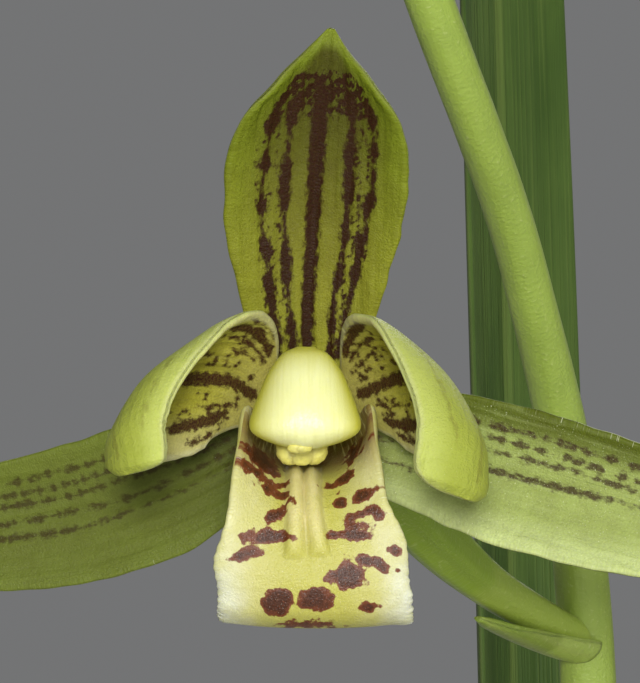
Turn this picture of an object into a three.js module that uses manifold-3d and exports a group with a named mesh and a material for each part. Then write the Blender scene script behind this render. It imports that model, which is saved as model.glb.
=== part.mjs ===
import * as THREE from 'three';
import { mergeVertices } from 'three/addons/utils/BufferGeometryUtils.js';
import Module from 'manifold-3d';

const wasm = await Module();
wasm.setup();

// Driving dimensions, in millimetres. The origin is the middle of the pot's underside, and -Y is the front.
const POT = {
    height: 150,
    footRadius: 55,
    bodyRadius: 68,
    rimRadius: 76,
    bandHeight: 27,
    wall: 6.5,
    rimWall: 7.5,
    floor: 8,
    footEdge: 1.5,
    rimEdge: 2,
};
const DRAIN = { radius: 6, ring: 28, count: 3 };
const MIX_TOP = 134;
const MIX_GAP = 0.4;
const ROOT_DEPTH = 9;
const CHIPS = {
    count: 36,
    tries: 420,
    seed: 11,
    length: 12,
    breadth: 7.5,
    thickness: 5,
    smallest: 0.75,
    largest: 1.25,
    tilt: 0.15,
    lift: 1,
    spacing: 10.5,
    fromHole: 7.44,
    fromWall: 9,
};
const TEPAL_THICKNESS = 0.6;
const LEAF_THICKNESS = 1;
const TIP_BLUNTNESS = 6;
const TIP_LEFT = 0.05;
const BLOOM = [-20, -60, 430];
const SCAPE_SIDES = 8;

const COLOURS = {
    terracotta: 0xb0623f,
    bark: 0x54392a,
    bulb: 0x7f9148,
    leaf: 0x4d6b2c,
    stem: 0x8fa24c,
    tepal: 0x8c9639,
    lip: 0xdedcab,
    cap: 0xf0f0b8,
    column: 0xc9bc55,
};

const group = new THREE.Group();

function material(colour, roughness) {
    return new THREE.MeshStandardMaterial({ color: COLOURS[colour], roughness, metalness: 0 });
}

// A seeded draw between 0 and 1
function randomFrom(seed) {
    let state = seed;
    return () => {
        state = (state * 1664525 + 1013904223) % 4294967296;
        return state / 4294967296;
    };
}

// Splines: the value at u, from 0 to 1, of a smooth curve through evenly spaced rows of numbers
function rowAlong(rows, u) {
    const spans = rows.length - 1;
    const place = Math.min(Math.max(u, 0), 1) * spans;
    const i = Math.min(Math.floor(place), spans - 1);
    const t = place - i;
    const before = i > 0 ? rows[i - 1] : beyond(rows[0], rows[1]);
    const after = i + 2 <= spans ? rows[i + 2] : beyond(rows[spans], rows[spans - 1]);
    return rows[i].map((p1, k) => {
        const p0 = before[k];
        const p2 = rows[i + 1][k];
        const p3 = after[k];
        const bend = (2 * p0 - 5 * p1 + 4 * p2 - p3) * t * t + (3 * p1 - p0 - 3 * p2 + p3) * t * t * t;
        return 0.5 * (2 * p1 + (p2 - p0) * t + bend);
    });
}

// The row as far past `end` as `inner` is before it
function beyond(end, inner) {
    return end.map((value, k) => 2 * value - inner[k]);
}

function numberAlong(numbers, u) {
    return rowAlong(numbers.map((value) => [value]), u)[0];
}

function pointAlong(points, u) {
    return new THREE.Vector3(...rowAlong(points, u));
}

function directionAlong(points, u) {
    const step = 0.001;
    return pointAlong(points, u + step).sub(pointAlong(points, u - step)).normalize();
}

function sinc(angle) {
    return Math.abs(angle) < 1e-6 ? 1 : Math.sin(angle) / angle;
}

// Solids: a closed geometry as a solid for joins and cuts, and back
function solidOf(geometry) {
    const bare = geometry.clone();
    bare.deleteAttribute('normal');
    bare.deleteAttribute('uv');
    const merged = mergeVertices(bare, 1e-4);
    const corners = merged.index.array;
    const triVerts = [];
    for (let i = 0; i < corners.length; i += 3) {
        const [a, b, c] = corners.slice(i, i + 3);
        if (a !== b && b !== c && c !== a) triVerts.push(a, b, c);
    }
    const mesh = new wasm.Mesh({
        numProp: 3,
        vertProperties: new Float32Array(merged.attributes.position.array),
        triVerts: new Uint32Array(triVerts),
    });
    return new wasm.Manifold(mesh);
}

function geometryOf(solid) {
    const mesh = solid.getMesh();
    const geometry = new THREE.BufferGeometry();
    geometry.setAttribute('position', new THREE.BufferAttribute(mesh.vertProperties, 3));
    geometry.setIndex(new THREE.BufferAttribute(mesh.triVerts, 1));
    return geometry;
}

function joined(solids) {
    return solids.reduce((whole, solid) => whole.add(solid));
}

function addMesh(parent, name, geometry, finish) {
    const mesh = new THREE.Mesh(geometry, finish);
    mesh.name = name;
    parent.add(mesh);
}

function indexed(points, faces) {
    const numbers = points.flatMap((point) => point.toArray());
    const geometry = new THREE.BufferGeometry();
    geometry.setAttribute('position', new THREE.Float32BufferAttribute(numbers, 3));
    geometry.setIndex(faces);
    return geometry;
}

// A loft: rings of as many points each, turning anticlockwise round the way they go, closed by two fans
function loft(rings) {
    const sides = rings[0].length;
    const points = rings.flat();
    const faces = [];
    for (let i = 0; i + 1 < rings.length; i++) {
        for (let k = 0; k < sides; k++) {
            const a = i * sides + k;
            const b = i * sides + (k + 1) % sides;
            faces.push(a, b, b + sides, a, b + sides, a + sides);
        }
    }
    const last = (rings.length - 1) * sides;
    const startCentre = points.push(middleOf(rings[0])) - 1;
    const endCentre = points.push(middleOf(rings[rings.length - 1])) - 1;
    for (let k = 0; k < sides; k++) {
        const next = (k + 1) % sides;
        faces.push(startCentre, next, k, endCentre, last + k, last + next);
    }
    return indexed(points, faces);
}

function middleOf(ring) {
    const middle = new THREE.Vector3();
    ring.forEach((point) => middle.add(point));
    return middle.divideScalar(ring.length);
}

// A rod of round sections along a spline of points, its radius a spline of numbers
function rod(points, radii, sides, steps) {
    const rings = [];
    for (let i = 0; i <= steps; i++) {
        const u = i / steps;
        const ahead = directionAlong(points, u);
        const aside = new THREE.Vector3(0, 1, 0.13).cross(ahead).normalize();
        const other = ahead.clone().cross(aside);
        const centre = pointAlong(points, u);
        const radius = numberAlong(radii, u);
        rings.push(circle(sides, (cos, sin) => centre.clone()
            .addScaledVector(aside, radius * cos)
            .addScaledVector(other, radius * sin)));
    }
    return loft(rings);
}

function circle(sides, place) {
    const ring = [];
    for (let k = 0; k < sides; k++) {
        const angle = (2 * Math.PI * k) / sides;
        ring.push(place(Math.cos(angle), Math.sin(angle)));
    }
    return ring;
}

// A blade: a thin curved sheet round a spine. At u along the spine and v from margin (-1) to margin (1),
// its section is an arc of half-width `half` that turns by `curl` from the midvein to each margin.
function bladeFrame(form, u, v) {
    const ahead = directionAlong(form.spine, u);
    const across = new THREE.Vector3(...rowAlong(form.across, u));
    across.addScaledVector(ahead, -across.dot(ahead)).normalize();
    const inward = ahead.clone().cross(across);
    const side = v < 0 ? -1 : 1;
    const half = numberAlong(v < 0 ? form.halfLow ?? form.half : form.half, u) * tipRound(form.tip, u);
    const curl = numberAlong(v < 0 ? form.curlLow ?? form.curl : form.curl, u);
    const turn = curl * Math.abs(v);
    const reach = half * Math.abs(v);
    const point = pointAlong(form.spine, u)
        .addScaledVector(across, side * reach * sinc(turn))
        .addScaledVector(inward, reach * Math.sin(turn / 2) * sinc(turn / 2));
    const normal = inward.multiplyScalar(Math.cos(turn)).addScaledVector(across, -side * Math.sin(turn));
    return { point, normal };
}

// A blunt tip narrows from u = tip to the end, at first little and then fast
function tipRound(tip, u) {
    if (tip === undefined || u < tip) return 1;
    const share = (u - tip) / (1 - tip);
    return Math.sqrt(Math.max(1 - share ** TIP_BLUNTNESS, TIP_LEFT));
}

function blade(form, lengths, widths, thickness) {
    const upper = [];
    const lower = [];
    for (let i = 0; i <= lengths; i++) {
        for (let k = 0; k <= widths; k++) {
            const { point, normal } = bladeFrame(form, i / lengths, (2 * k) / widths - 1);
            upper.push(point.clone().addScaledVector(normal, thickness / 2));
            lower.push(point.clone().addScaledVector(normal, -thickness / 2));
        }
    }
    const row = widths + 1;
    const under = upper.length;
    const faces = [];
    for (let i = 0; i < lengths; i++) {
        for (let k = 0; k < widths; k++) {
            const a = i * row + k;
            const b = a + row;
            faces.push(a, b, b + 1, a, b + 1, a + 1);
            faces.push(under + a, under + b + 1, under + b, under + a, under + a + 1, under + b + 1);
        }
    }
    for (let i = 0; i < lengths; i++) {
        const a = i * row;
        const b = a + widths;
        faces.push(a, under + a, under + a + row, a, under + a + row, a + row);
        faces.push(b, b + row, under + b + row, b, under + b + row, under + b);
    }
    for (let k = 0; k < widths; k++) {
        const a = k;
        const b = lengths * row + k;
        faces.push(a, a + 1, under + a + 1, a, under + a + 1, under + a);
        faces.push(b, under + b + 1, b + 1, b, under + b, under + b + 1);
    }
    const geometry = indexed([...upper, ...lower], faces);
    return form.mirrored ? mirrored(geometry) : geometry;
}

function mirrored(geometry) {
    geometry.scale(-1, 1, 1);
    const corners = geometry.index.array;
    for (let i = 0; i < corners.length; i += 3) {
        [corners[i], corners[i + 1]] = [corners[i + 1], corners[i]];
    }
    return geometry;
}

// The pot: one fired shell with a thick rim band and drain holes round the solid middle of its floor
function potInside(height) {
    const share = (height - POT.floor) / (POT.height - POT.floor);
    const low = POT.footRadius - POT.wall;
    return low + share * (POT.rimRadius - POT.rimWall - low);
}

function addPot() {
    const bandFoot = POT.height - POT.bandHeight;
    const profile = [
        [0, 0],
        [POT.footRadius - POT.footEdge, 0],
        [POT.footRadius, POT.footEdge],
        [POT.bodyRadius, bandFoot],
        [POT.rimRadius - POT.rimEdge, bandFoot + POT.footEdge],
        [POT.rimRadius, POT.height - POT.rimEdge],
        [POT.rimRadius - POT.rimEdge, POT.height],
        [potInside(POT.height), POT.height],
        [potInside(POT.floor), POT.floor],
        [0, POT.floor],
    ];
    const shell = new THREE.LatheGeometry(profile.map(([r, z]) => new THREE.Vector2(r, z)), 40);
    shell.rotateX(Math.PI / 2);
    let pot = solidOf(shell);
    for (let i = 0; i < DRAIN.count; i++) {
        const angle = (2 * Math.PI * (i + 0.25)) / DRAIN.count;
        const hole = new THREE.CylinderGeometry(DRAIN.radius, DRAIN.radius, 4 * POT.floor, 16);
        hole.rotateX(Math.PI / 2);
        hole.translate(DRAIN.ring * Math.cos(angle), DRAIN.ring * Math.sin(angle), 0);
        pot = pot.subtract(solidOf(hole));
    }
    addMesh(group, 'pot', geometryOf(pot), material('terracotta', 0.85));
}

// The growths: an egg-shaped bulb each, flattened across its fan, with leaves in two ranks along the fan.
// A leaf sits on the bulb's flank, shoulder or crown, on the side its number gives. Its lean is its angle
// from the upright at its foot and at its tip, and its turn is a twist of the blade, all in degrees.
// Its fold multiplies the depth of its V.
const BULB_HEIGHT = 36;
const BULB_PROFILE = [9, 12.6, 14, 13.6, 11.6, 7.6, 2];
const BULB_FLATNESS = 0.86;
const SEATS = { flank: 0.3, shoulder: 0.86 };
const SEAT_GAP = 0.35;
const CROWN = { from: 1, lift: 0.45 };
const GROWTHS = [
    {
        name: 'right', x: 23, y: 8, fan: 14, size: 1,
        leaves: [
            { seat: 'flank', side: 1, lean: [20, 134], length: 410, half: 7, sway: 34 },
            { seat: 'shoulder', side: 1, lean: [14, 102], length: 470, half: 7.4, sway: -30 },
            { seat: 'crown', side: 1, lean: [8, 72], length: 450, half: 6.6, sway: 26 },
            { seat: 'shoulder', side: -1, lean: [8, 30], length: 236, half: 5.6, sway: 14 },
        ],
    },
    {
        name: 'left', x: -27, y: 18, fan: 172, size: 0.96,
        leaves: [
            { seat: 'flank', side: 1, lean: [22, 132], length: 420, half: 7.2, sway: 38 },
            { seat: 'shoulder', side: 1, lean: [15, 106], length: 470, half: 7.4, sway: -34 },
            { seat: 'crown', side: 1, lean: [13, 82], length: 410, half: 6.6, sway: 10 },
            { seat: 'shoulder', side: -1, lean: [10, 44], length: 232, half: 5.4, sway: 14 },
        ],
    },
    {
        name: 'back', x: -4.4, y: 40, fan: 90, size: 0.92,
        leaves: [
            { seat: 'flank', side: 1, lean: [20, 122], length: 400, half: 7, sway: -46 },
            {
                seat: 'shoulder', side: 1, lean: [4, 58], length: 500, half: 7.2, sway: 1,
                turn: -50, fold: 1.9,
            },
        ],
    },
    {
        name: 'front', x: 34, y: -29, fan: -10, size: 0.84,
        leaves: [
            { seat: 'flank', side: 1, lean: [24, 136], length: 350, half: 6.4, sway: -40 },
            { seat: 'shoulder', side: 1, lean: [15, 106], length: 410, half: 6.6, sway: -62 },
            { seat: 'shoulder', side: -1, lean: [10, 30], length: 200, half: 5.2, sway: 30 },
        ],
    },
    {
        name: 'old', x: -34, y: -18, fan: 200, size: 0.88,
        leaves: [
            { seat: 'flank', side: 1, lean: [26, 128], length: 340, half: 6.2, sway: -36 },
            { seat: 'shoulder', side: 1, lean: [16, 112], length: 390, half: 6.6, sway: 40 },
        ],
    },
];
const LEAF_HALF = [1.18, 0.96, 0.86, 0.9, 0.97, 1, 1, 0.96, 0.88, 0.76, 0.58, 0.35, 0.06];
const LEAF_CURL = [0.5, 0.75, 0.7, 0.55, 0.45, 0.4, 0.36, 0.33, 0.3, 0.28, 0.25, 0.2, 0.1];
const LEAF_STATIONS = 14;

function addBulb(growth) {
    const rings = BULB_PROFILE.map((radius, i) => {
        const share = i / (BULB_PROFILE.length - 1);
        const z = MIX_TOP - ROOT_DEPTH + share * (BULB_HEIGHT * growth.size + ROOT_DEPTH);
        return circle(14, (cos, sin) => new THREE.Vector3(
            radius * growth.size * cos,
            BULB_FLATNESS * radius * growth.size * sin,
            z,
        ));
    });
    const geometry = loft(rings);
    geometry.rotateZ(THREE.MathUtils.degToRad(growth.fan));
    geometry.translate(growth.x, growth.y, 0);
    addMesh(group, `bulb_${growth.name}`, geometry, material('bulb', 0.5));
}

// Where a leaf's foot sits: its distance from the bulb's middle and its height above the mix
function leafFoot(growth, leaf) {
    const height = BULB_HEIGHT * growth.size;
    if (leaf.seat === 'crown') return { from: CROWN.from, height: height + CROWN.lift };
    const share = SEATS[leaf.seat];
    const place = share * (BULB_PROFILE.length - 1);
    const ring = Math.floor(place);
    const radius = THREE.MathUtils.lerp(BULB_PROFILE[ring], BULB_PROFILE[ring + 1], place - ring);
    return {
        from: radius * growth.size + SEAT_GAP + LEAF_THICKNESS / 2,
        height: share * (height + ROOT_DEPTH) - ROOT_DEPTH,
    };
}

// A leaf's form: the spine starts at its foot and leans over more and more, swaying sideways by `sway`
function leafForm(growth, leaf) {
    const angle = THREE.MathUtils.degToRad(growth.fan);
    const outward = new THREE.Vector3(Math.cos(angle), Math.sin(angle), 0).multiplyScalar(leaf.side);
    const aside = new THREE.Vector3(-outward.y, outward.x, 0);
    const { from, height } = leafFoot(growth, leaf);
    const foot = new THREE.Vector3(growth.x, growth.y, MIX_TOP + height).addScaledVector(outward, from);
    const spine = [];
    let reach = 0;
    let rise = 0;
    for (let i = 0; i <= LEAF_STATIONS; i++) {
        const share = i / LEAF_STATIONS;
        const point = foot.clone()
            .addScaledVector(outward, reach)
            .addScaledVector(aside, leaf.sway * share * share);
        point.z += rise;
        spine.push(point.toArray());
        const bent = (share + 0.5 / LEAF_STATIONS) ** 1.5;
        const lean = THREE.MathUtils.degToRad(leaf.lean[0] + (leaf.lean[1] - leaf.lean[0]) * bent);
        reach += Math.sin(lean) * leaf.length / LEAF_STATIONS;
        rise += Math.cos(lean) * leaf.length / LEAF_STATIONS;
    }
    const turn = THREE.MathUtils.degToRad(leaf.turn ?? 0);
    const turned = aside.clone().multiplyScalar(Math.cos(turn)).addScaledVector(outward, Math.sin(turn));
    return {
        spine,
        across: [aside.toArray(), turned.toArray(), turned.toArray(), turned.toArray()],
        half: LEAF_HALF.map((share) => share * leaf.half),
        curl: LEAF_CURL.map((curl) => curl * (leaf.fold ?? 1)),
    };
}

function addLeaves(growth) {
    growth.leaves.forEach((leaf, i) => {
        const geometry = blade(leafForm(growth, leaf), LEAF_STATIONS, 2, LEAF_THICKNESS);
        addMesh(group, `leaf_${growth.name}_${i + 1}`, geometry, material('leaf', 0.45));
    });
}

// The flower stem and its blooms, in the plant's own frame. A bloom is placed by its middle; it faces the
// front at heading 0, turns anticlockwise with heading and looks up with nod, both in degrees.
const SCAPE_PATH = [
    [9, -14, 126], [8.4, -15, 165], [6.9, -17.5, 210], [4.6, -20.5, 255], [1.6, -24, 300], [-2, -28, 342],
    [-5.4, -32, 383], [-6.5, -35, 419.2], [-9.9, -48.6, 435.6], [-14.8, -61.8, 447.9], [-21.5, -71, 465],
    [-30.5, -80, 481], [-42, -90, 494], [-56, -100, 503.5], [-71, -109, 508], [-85, -117, 508.5],
];
const SCAPE_RADII = [2.5, 2.4, 2.3, 2.2, 2.05, 1.9, 1.6, 1.35, 1.08, 1.04, 1.04, 1.02, 1, 0.95, 0.85, 0.7];
const OVARY_RADII = [0.95, 1.1, 1.3, 1.5, 1.55, 1.45];
const OVARY_END = -1.65;
const BLOOMS = [
    { name: 'lowest', node: [-5.5, -32.2, 384], at: [18, -38, 378], heading: 62, nod: 4 },
    { name: 'upper_right', node: [-17.6, -66, 455], at: [6, -80, 469], heading: 34, nod: 8 },
    { name: 'upper_left', node: [-29, -78.6, 478.5], at: [-54, -86, 484], heading: -46, nod: 0 },
    { name: 'top', node: [-49, -95, 499], at: [-32, -116, 514], heading: 14, nod: 10 },
];
const MAIN_OVARY = [
    [-6.5, -35, 418.4], [-8.6, -37.9, 419.6], [-11.6, -42.6, 421.6], [-14.2, -47.8, 424],
    [-17, -53.5, 427.2], [-20, -58.35, 430],
];
const BUDS = [
    { node: [-63, -104.5, 506.2], at: [-66, -124, 516], radius: 3.4, length: 14 },
    { node: [-72, -109.6, 508], at: [-90, -108, 517], radius: 3, length: 12.5 },
    { node: [-84, -116.4, 508.4], at: [-97, -124, 506], radius: 2.5, length: 11 },
];
const SHEATHS = [
    { from: 0.03, to: 0.11, radius: 3.3 },
    { from: 0.14, to: 0.21, radius: 3.1 },
    { from: 0.26, to: 0.33, radius: 2.9 },
];
const SHEATH_THINNING = [0.9, 0, 0, 0.2];
const BUD_PROFILE = [0.45, 0.86, 1, 0.84, 0.2];
const BRACT = {
    along: [0.02, 0.15, 0.28, 0.41],
    below: [1, 1.25, 1.5, 1.8],
    half: [1.5, 1.3, 0.9, 0.15],
    curl: [1.2, 1.1, 0.8, 0.4],
};

function facing(bloom) {
    const heading = THREE.MathUtils.degToRad(bloom.heading);
    const nod = THREE.MathUtils.degToRad(bloom.nod);
    const level = Math.cos(nod);
    return new THREE.Vector3(Math.sin(heading) * level, -Math.cos(heading) * level, Math.sin(nod));
}

function ovaryPath(bloom) {
    const start = new THREE.Vector3(...bloom.node);
    const face = facing(bloom);
    const end = new THREE.Vector3(...bloom.at).addScaledVector(face, OVARY_END);
    const before = end.clone().addScaledVector(face, -7);
    const middle = start.clone().lerp(before, 0.5);
    middle.z -= 1.2;
    return [start, middle, before, end].map((point) => point.toArray());
}

// A bract hugs the underside of an ovary from its node on and narrows to a point
function bractForm(path) {
    const spine = [];
    const across = [];
    BRACT.along.forEach((u, i) => {
        const ahead = directionAlong(path, u);
        const aside = new THREE.Vector3(0, 0, 1).cross(ahead).normalize();
        const down = aside.clone().cross(ahead);
        spine.push(pointAlong(path, u).addScaledVector(down, BRACT.below[i]).toArray());
        across.push(aside.toArray());
    });
    return { spine, across, half: BRACT.half, curl: BRACT.curl };
}

function budSolid(bud) {
    const start = new THREE.Vector3(...bud.at);
    const ahead = start.clone().sub(new THREE.Vector3(...bud.node)).normalize();
    const tip = start.clone().addScaledVector(ahead, bud.length);
    const radii = BUD_PROFILE.map((share) => share * bud.radius);
    const stalk = [bud.node, start.clone().addScaledVector(ahead, 1.5).toArray()];
    return solidOf(rod([bud.at, tip.toArray()], radii, 7, 5)).add(solidOf(rod(stalk, [0.8, 1.2], 5, 1)));
}

function addScape() {
    const solids = [solidOf(rod(SCAPE_PATH, SCAPE_RADII, SCAPE_SIDES, 24))];
    const paths = [MAIN_OVARY, ...BLOOMS.map(ovaryPath)];
    paths.forEach((path) => {
        solids.push(solidOf(rod(path, OVARY_RADII, 7, 5)));
        solids.push(solidOf(blade(bractForm(path), 4, 2, TEPAL_THICKNESS)));
    });
    BUDS.forEach((bud) => solids.push(budSolid(bud)));
    SHEATHS.forEach(({ from, to, radius }) => {
        const path = SHEATH_THINNING.map((less, i) => rowAlong(SCAPE_PATH, from + (i / 3) * (to - from)));
        const radii = SHEATH_THINNING.map((less) => radius - less);
        solids.push(solidOf(rod(path, radii, SCAPE_SIDES, 3)));
    });
    addMesh(group, 'flower_stem', geometryOf(joined(solids)), material('stem', 0.5));
}

// The bloom's forms, in its own frame: x to the right, y up and z to the front, from the bloom's middle
const DORSAL_SEPAL = {
    spine: [
        [0, 0.8, -0.8], [0.02, 1.9, -0.6], [0.05, 3.2, -0.3], [0.08, 4.5, 0], [0.12, 5.9, 0.3],
        [0.17, 7.2, 0.6], [0.23, 8.5, 0.9], [0.32, 9.8, 1.3], [0.44, 11.1, 1.7], [0.6, 12.4, 2.2],
        [0.72, 13.6, 2.7], [0.8, 14.6, 3.2], [0.88, 15.5, 3.6], [1, 16.4, 4],
    ],
    across: [[-1, 0, 0], [-1, 0, 0]],
    half: [1.3, 2.16, 2.5, 2.88, 3.28, 3.62, 3.9, 4.06, 4.1, 3.86, 3.3, 2.15, 0.82, 0.2],
    curl: [0.3, 0.3, 0.35, 0.4, 0.5, 0.55, 0.6, 0.65, 0.7, 0.75, 0.8, 0.8, 0.6, 0.4],
};
const LATERAL_RIGHT = {
    spine: [
        [0.95, -0.7, -0.6], [1.95, -0.95, -0.35], [3.8, -1.45, 0.1], [6.2, -1.95, 0.6], [8.75, -2.75, 1.2],
        [11.5, -3.5, 1.8], [14.3, -4.25, 2.3], [16.8, -4.95, 2.6], [19.1, -5.5, 2.8],
    ],
    across: [[0.2, 1, 0], [0.2, 1, 0]],
    half: [0.8, 1.6, 2.2, 2.75, 3, 3, 2.8, 2.1, 0.2],
    curl: [0.2, 0.4, 0.5, 0.6, 0.5],
};
const LATERAL_LEFT = {
    spine: [
        [-0.95, -0.7, -0.6], [-2.1, -1.15, -0.9], [-3.65, -2, -1.3], [-6.1, -3.2, -2], [-8.65, -4.1, -2.8],
        [-11, -4.7, -3.5], [-13.7, -5.2, -4.2], [-16.4, -5.7, -4.9], [-19.1, -6.1, -5.4],
    ],
    across: [[0.2, -1, 0], [0.2, -1, 0]],
    half: [0.8, 1.7, 2.3, 2.95, 3.1, 3, 2.75, 2.1, 0.2],
    curl: [0.2, 0.4, 0.5, 0.5, 0.4],
};
const PETAL_RIGHT = {
    spine: [
        [2, 0.8, 0.3], [3.3, 1.75, 2], [4.8, 2.2, 4], [6.2, 1.4, 6.2], [7, -0.6, 8],
        [6.8, -2.4, 8.9], [6.2, -3.3, 9.1],
    ],
    across: [
        [-0.35, 1, 0.1], [-0.3, 0.95, 0.2], [-0.25, 0.85, 0.45], [-0.3, 0.6, 0.75], [-0.4, 0.35, 0.84],
        [-0.6, 0.1, 0.75], [-0.75, -0.1, 0.65],
    ],
    half: [0.9, 2.65, 3, 3, 2.9, 2.8, 2.7],
    halfLow: [1.4, 3.3, 4.1, 4, 3.4, 2.8, 2.6],
    curl: [0.2, 0.4, 0.7, 1.05, 1.15, 1.1, 0.9],
    curlLow: [0.1, 0.3, 0.5, 0.8, 1, 1, 0.8],
    tip: 0.8,
};
const PETAL_LEFT = {
    spine: [
        [2, 0.8, 0.3], [3.4, 1.7, 1.9], [5.2, 1.9, 3.6], [6.9, 1.2, 5.6], [8, -0.4, 7],
        [8, -1.7, 7.6], [7.5, -2.4, 7.8],
    ],
    across: [
        [-0.4, 1, 0.1], [-0.3, 0.95, 0.25], [-0.3, 0.85, 0.45], [-0.4, 0.65, 0.7], [-0.45, 0.4, 0.82],
        [-0.6, 0, 0.75], [-0.75, -0.3, 0.65],
    ],
    half: [0.9, 3, 3.2, 2.65, 2.5, 2.5, 2.5],
    halfLow: [1.4, 3.3, 4.1, 3.9, 3.3, 2.6, 2.4],
    curl: [0.2, 0.4, 0.7, 1.05, 1.15, 1.1, 0.9],
    curlLow: [0.1, 0.3, 0.4, 0.5, 0.7, 0.8, 0.8],
    tip: 0.8,
    mirrored: true,
};
const LIP = {
    spine: [
        [0, -1.9, 0.8], [0, -2.3, 2.3], [0, -2.8, 4], [0, -3.25, 5.8], [0.05, -4.2, 7.2], [0.2, -5.6, 7.9],
        [0.3, -7, 8.1], [0.36, -8.2, 7.7], [0.38, -8.9, 6.8], [0.36, -9, 5.8],
    ],
    across: [[1, 0, 0], [1, 0, 0]],
    half: [1.8, 3.3, 4.7, 3.8, 3.3, 3.75, 3.8, 3.85, 3.85, 3.7],
    halfLow: [1.8, 3.3, 4.6, 3.8, 3.4, 3.95, 3.95, 3.95, 3.9, 3.7],
    curl: [1.1, 1.5, 1.75, 1.3, 0.55, 0.1, -0.1, -0.2, -0.3, -0.3],
};
const KEELS = [
    [[-0.55, -2.75, 5.7], [-0.6, -3.5, 7], [-0.5, -4.5, 7.75], [-0.3, -5.7, 8.1]],
    [[0.55, -2.75, 5.7], [0.62, -3.5, 7], [0.6, -4.5, 7.75], [0.62, -5.8, 8.1]],
];
const KEEL_RADII = [0.4, 0.6, 0.62, 0.4];
const COLUMN_PATH = [[0, 0.45, -0.05], [0, 0.7, 1.6], [0, 0.85, 3.4], [-0.05, 0.7, 5.6]];
const COLUMN_RADII = [1.05, 1.15, 1.35, 1.6];
const NECK_PATH = [[-0.05, 0.7, 5], [-0.1, 0.6, 7.4]];
const NECK_RADIUS = 1.1;
const CLAW_PATH = [[-2.1, 0.9, 0.65], [2.1, 0.9, 0.65]];
const CLAW_RADIUS = 0.55;
const HUB_RADIUS = 1.35;
const CHIN_PATH = [[0, 0, 4.6], [-0.1, -0.9, 5.2], [-0.15, -1.4, 5.9], [-0.15, -1.5, 6.5]];
const CHIN_RADII = [1, 0.8, 0.55, 0.3];
const CHIN_BREADTH = 1.6;
const CHIN_LOBES = { at: [[-0.72, -1.5, 6.3], [0.24, -1.5, 6.3]], size: [0.6, 0.64, 0.55] };

// The anther cap, in level sections from the top down: height, z, half-width, depth before and behind z
const CAP_SECTIONS = [
    [2.85, 6.6, 0.35, 0.2, 0.2],
    [2.55, 6.8, 0.96, 0.65, 0.6],
    [1.85, 7.1, 1.51, 1.1, 0.85],
    [1, 7.4, 1.9, 1.4, 1.05],
    [0.2, 7.65, 2.2, 1.55, 1.2],
    [-0.4, 7.8, 2.34, 1.55, 1.2],
    [-0.8, 7.85, 2.15, 1.4, 1.1],
    [-1.15, 7.82, 1.48, 1, 0.8],
    [-1.4, 7.75, 0.6, 0.4, 0.4],
];
const CAP_MIDDLE = -0.1;

function capGeometry(sides, every) {
    const section = ([y, z, half, before, behind]) => circle(sides, (cos, sin) => {
        const depth = cos > 0 ? before : behind;
        return new THREE.Vector3(CAP_MIDDLE - half * sin, y, z + depth * cos);
    });
    return loft(CAP_SECTIONS.filter((row, i) => i % every === 0).map(section));
}

// The column with the two-lobed chin below its cap
function columnSolid(sides, steps) {
    const chin = rod(CHIN_PATH, CHIN_RADII, sides, steps);
    chin.scale(CHIN_BREADTH, 1, 1);
    const lobes = CHIN_LOBES.at.map((at) => {
        const lobe = new THREE.SphereGeometry(1, sides, steps + 2);
        lobe.scale(...CHIN_LOBES.size);
        lobe.translate(...at);
        return solidOf(lobe);
    });
    return joined([solidOf(rod(COLUMN_PATH, COLUMN_RADII, sides, steps)), solidOf(chin), ...lobes]);
}

function keeledLip() {
    const keels = KEELS.map((path) => solidOf(rod(path, KEEL_RADII, 6, 5)));
    return geometryOf(joined([solidOf(blade(LIP, 14, 8, TEPAL_THICKNESS)), ...keels]));
}

function bloomGroup(at, heading, nod) {
    const turned = new THREE.Group();
    turned.position.set(...at);
    turned.rotation.z = THREE.MathUtils.degToRad(heading);
    const upright = new THREE.Group();
    upright.rotation.x = Math.PI / 2 + THREE.MathUtils.degToRad(nod);
    turned.add(upright);
    group.add(turned);
    return upright;
}

// The open bloom in front, a node for each of its pieces
function addMainBloom() {
    const bloom = bloomGroup(BLOOM, 0, 0);
    const tepal = () => material('tepal', 0.5);
    addMesh(bloom, 'dorsal_sepal', blade(DORSAL_SEPAL, 16, 6, TEPAL_THICKNESS), tepal());
    addMesh(bloom, 'lateral_sepal_right', blade(LATERAL_RIGHT, 12, 4, TEPAL_THICKNESS), tepal());
    addMesh(bloom, 'lateral_sepal_left', blade(LATERAL_LEFT, 12, 4, TEPAL_THICKNESS), tepal());
    addMesh(bloom, 'petal_right', blade(PETAL_RIGHT, 12, 8, TEPAL_THICKNESS), tepal());
    addMesh(bloom, 'petal_left', blade(PETAL_LEFT, 12, 8, TEPAL_THICKNESS), tepal());
    addMesh(bloom, 'lip', keeledLip(), material('lip', 0.4));
    addMesh(bloom, 'column', geometryOf(columnSolid(12, 4)), material('column', 0.4));
    addMesh(bloom, 'anther_cap', capGeometry(20, 1), material('cap', 0.35));
}

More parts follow.
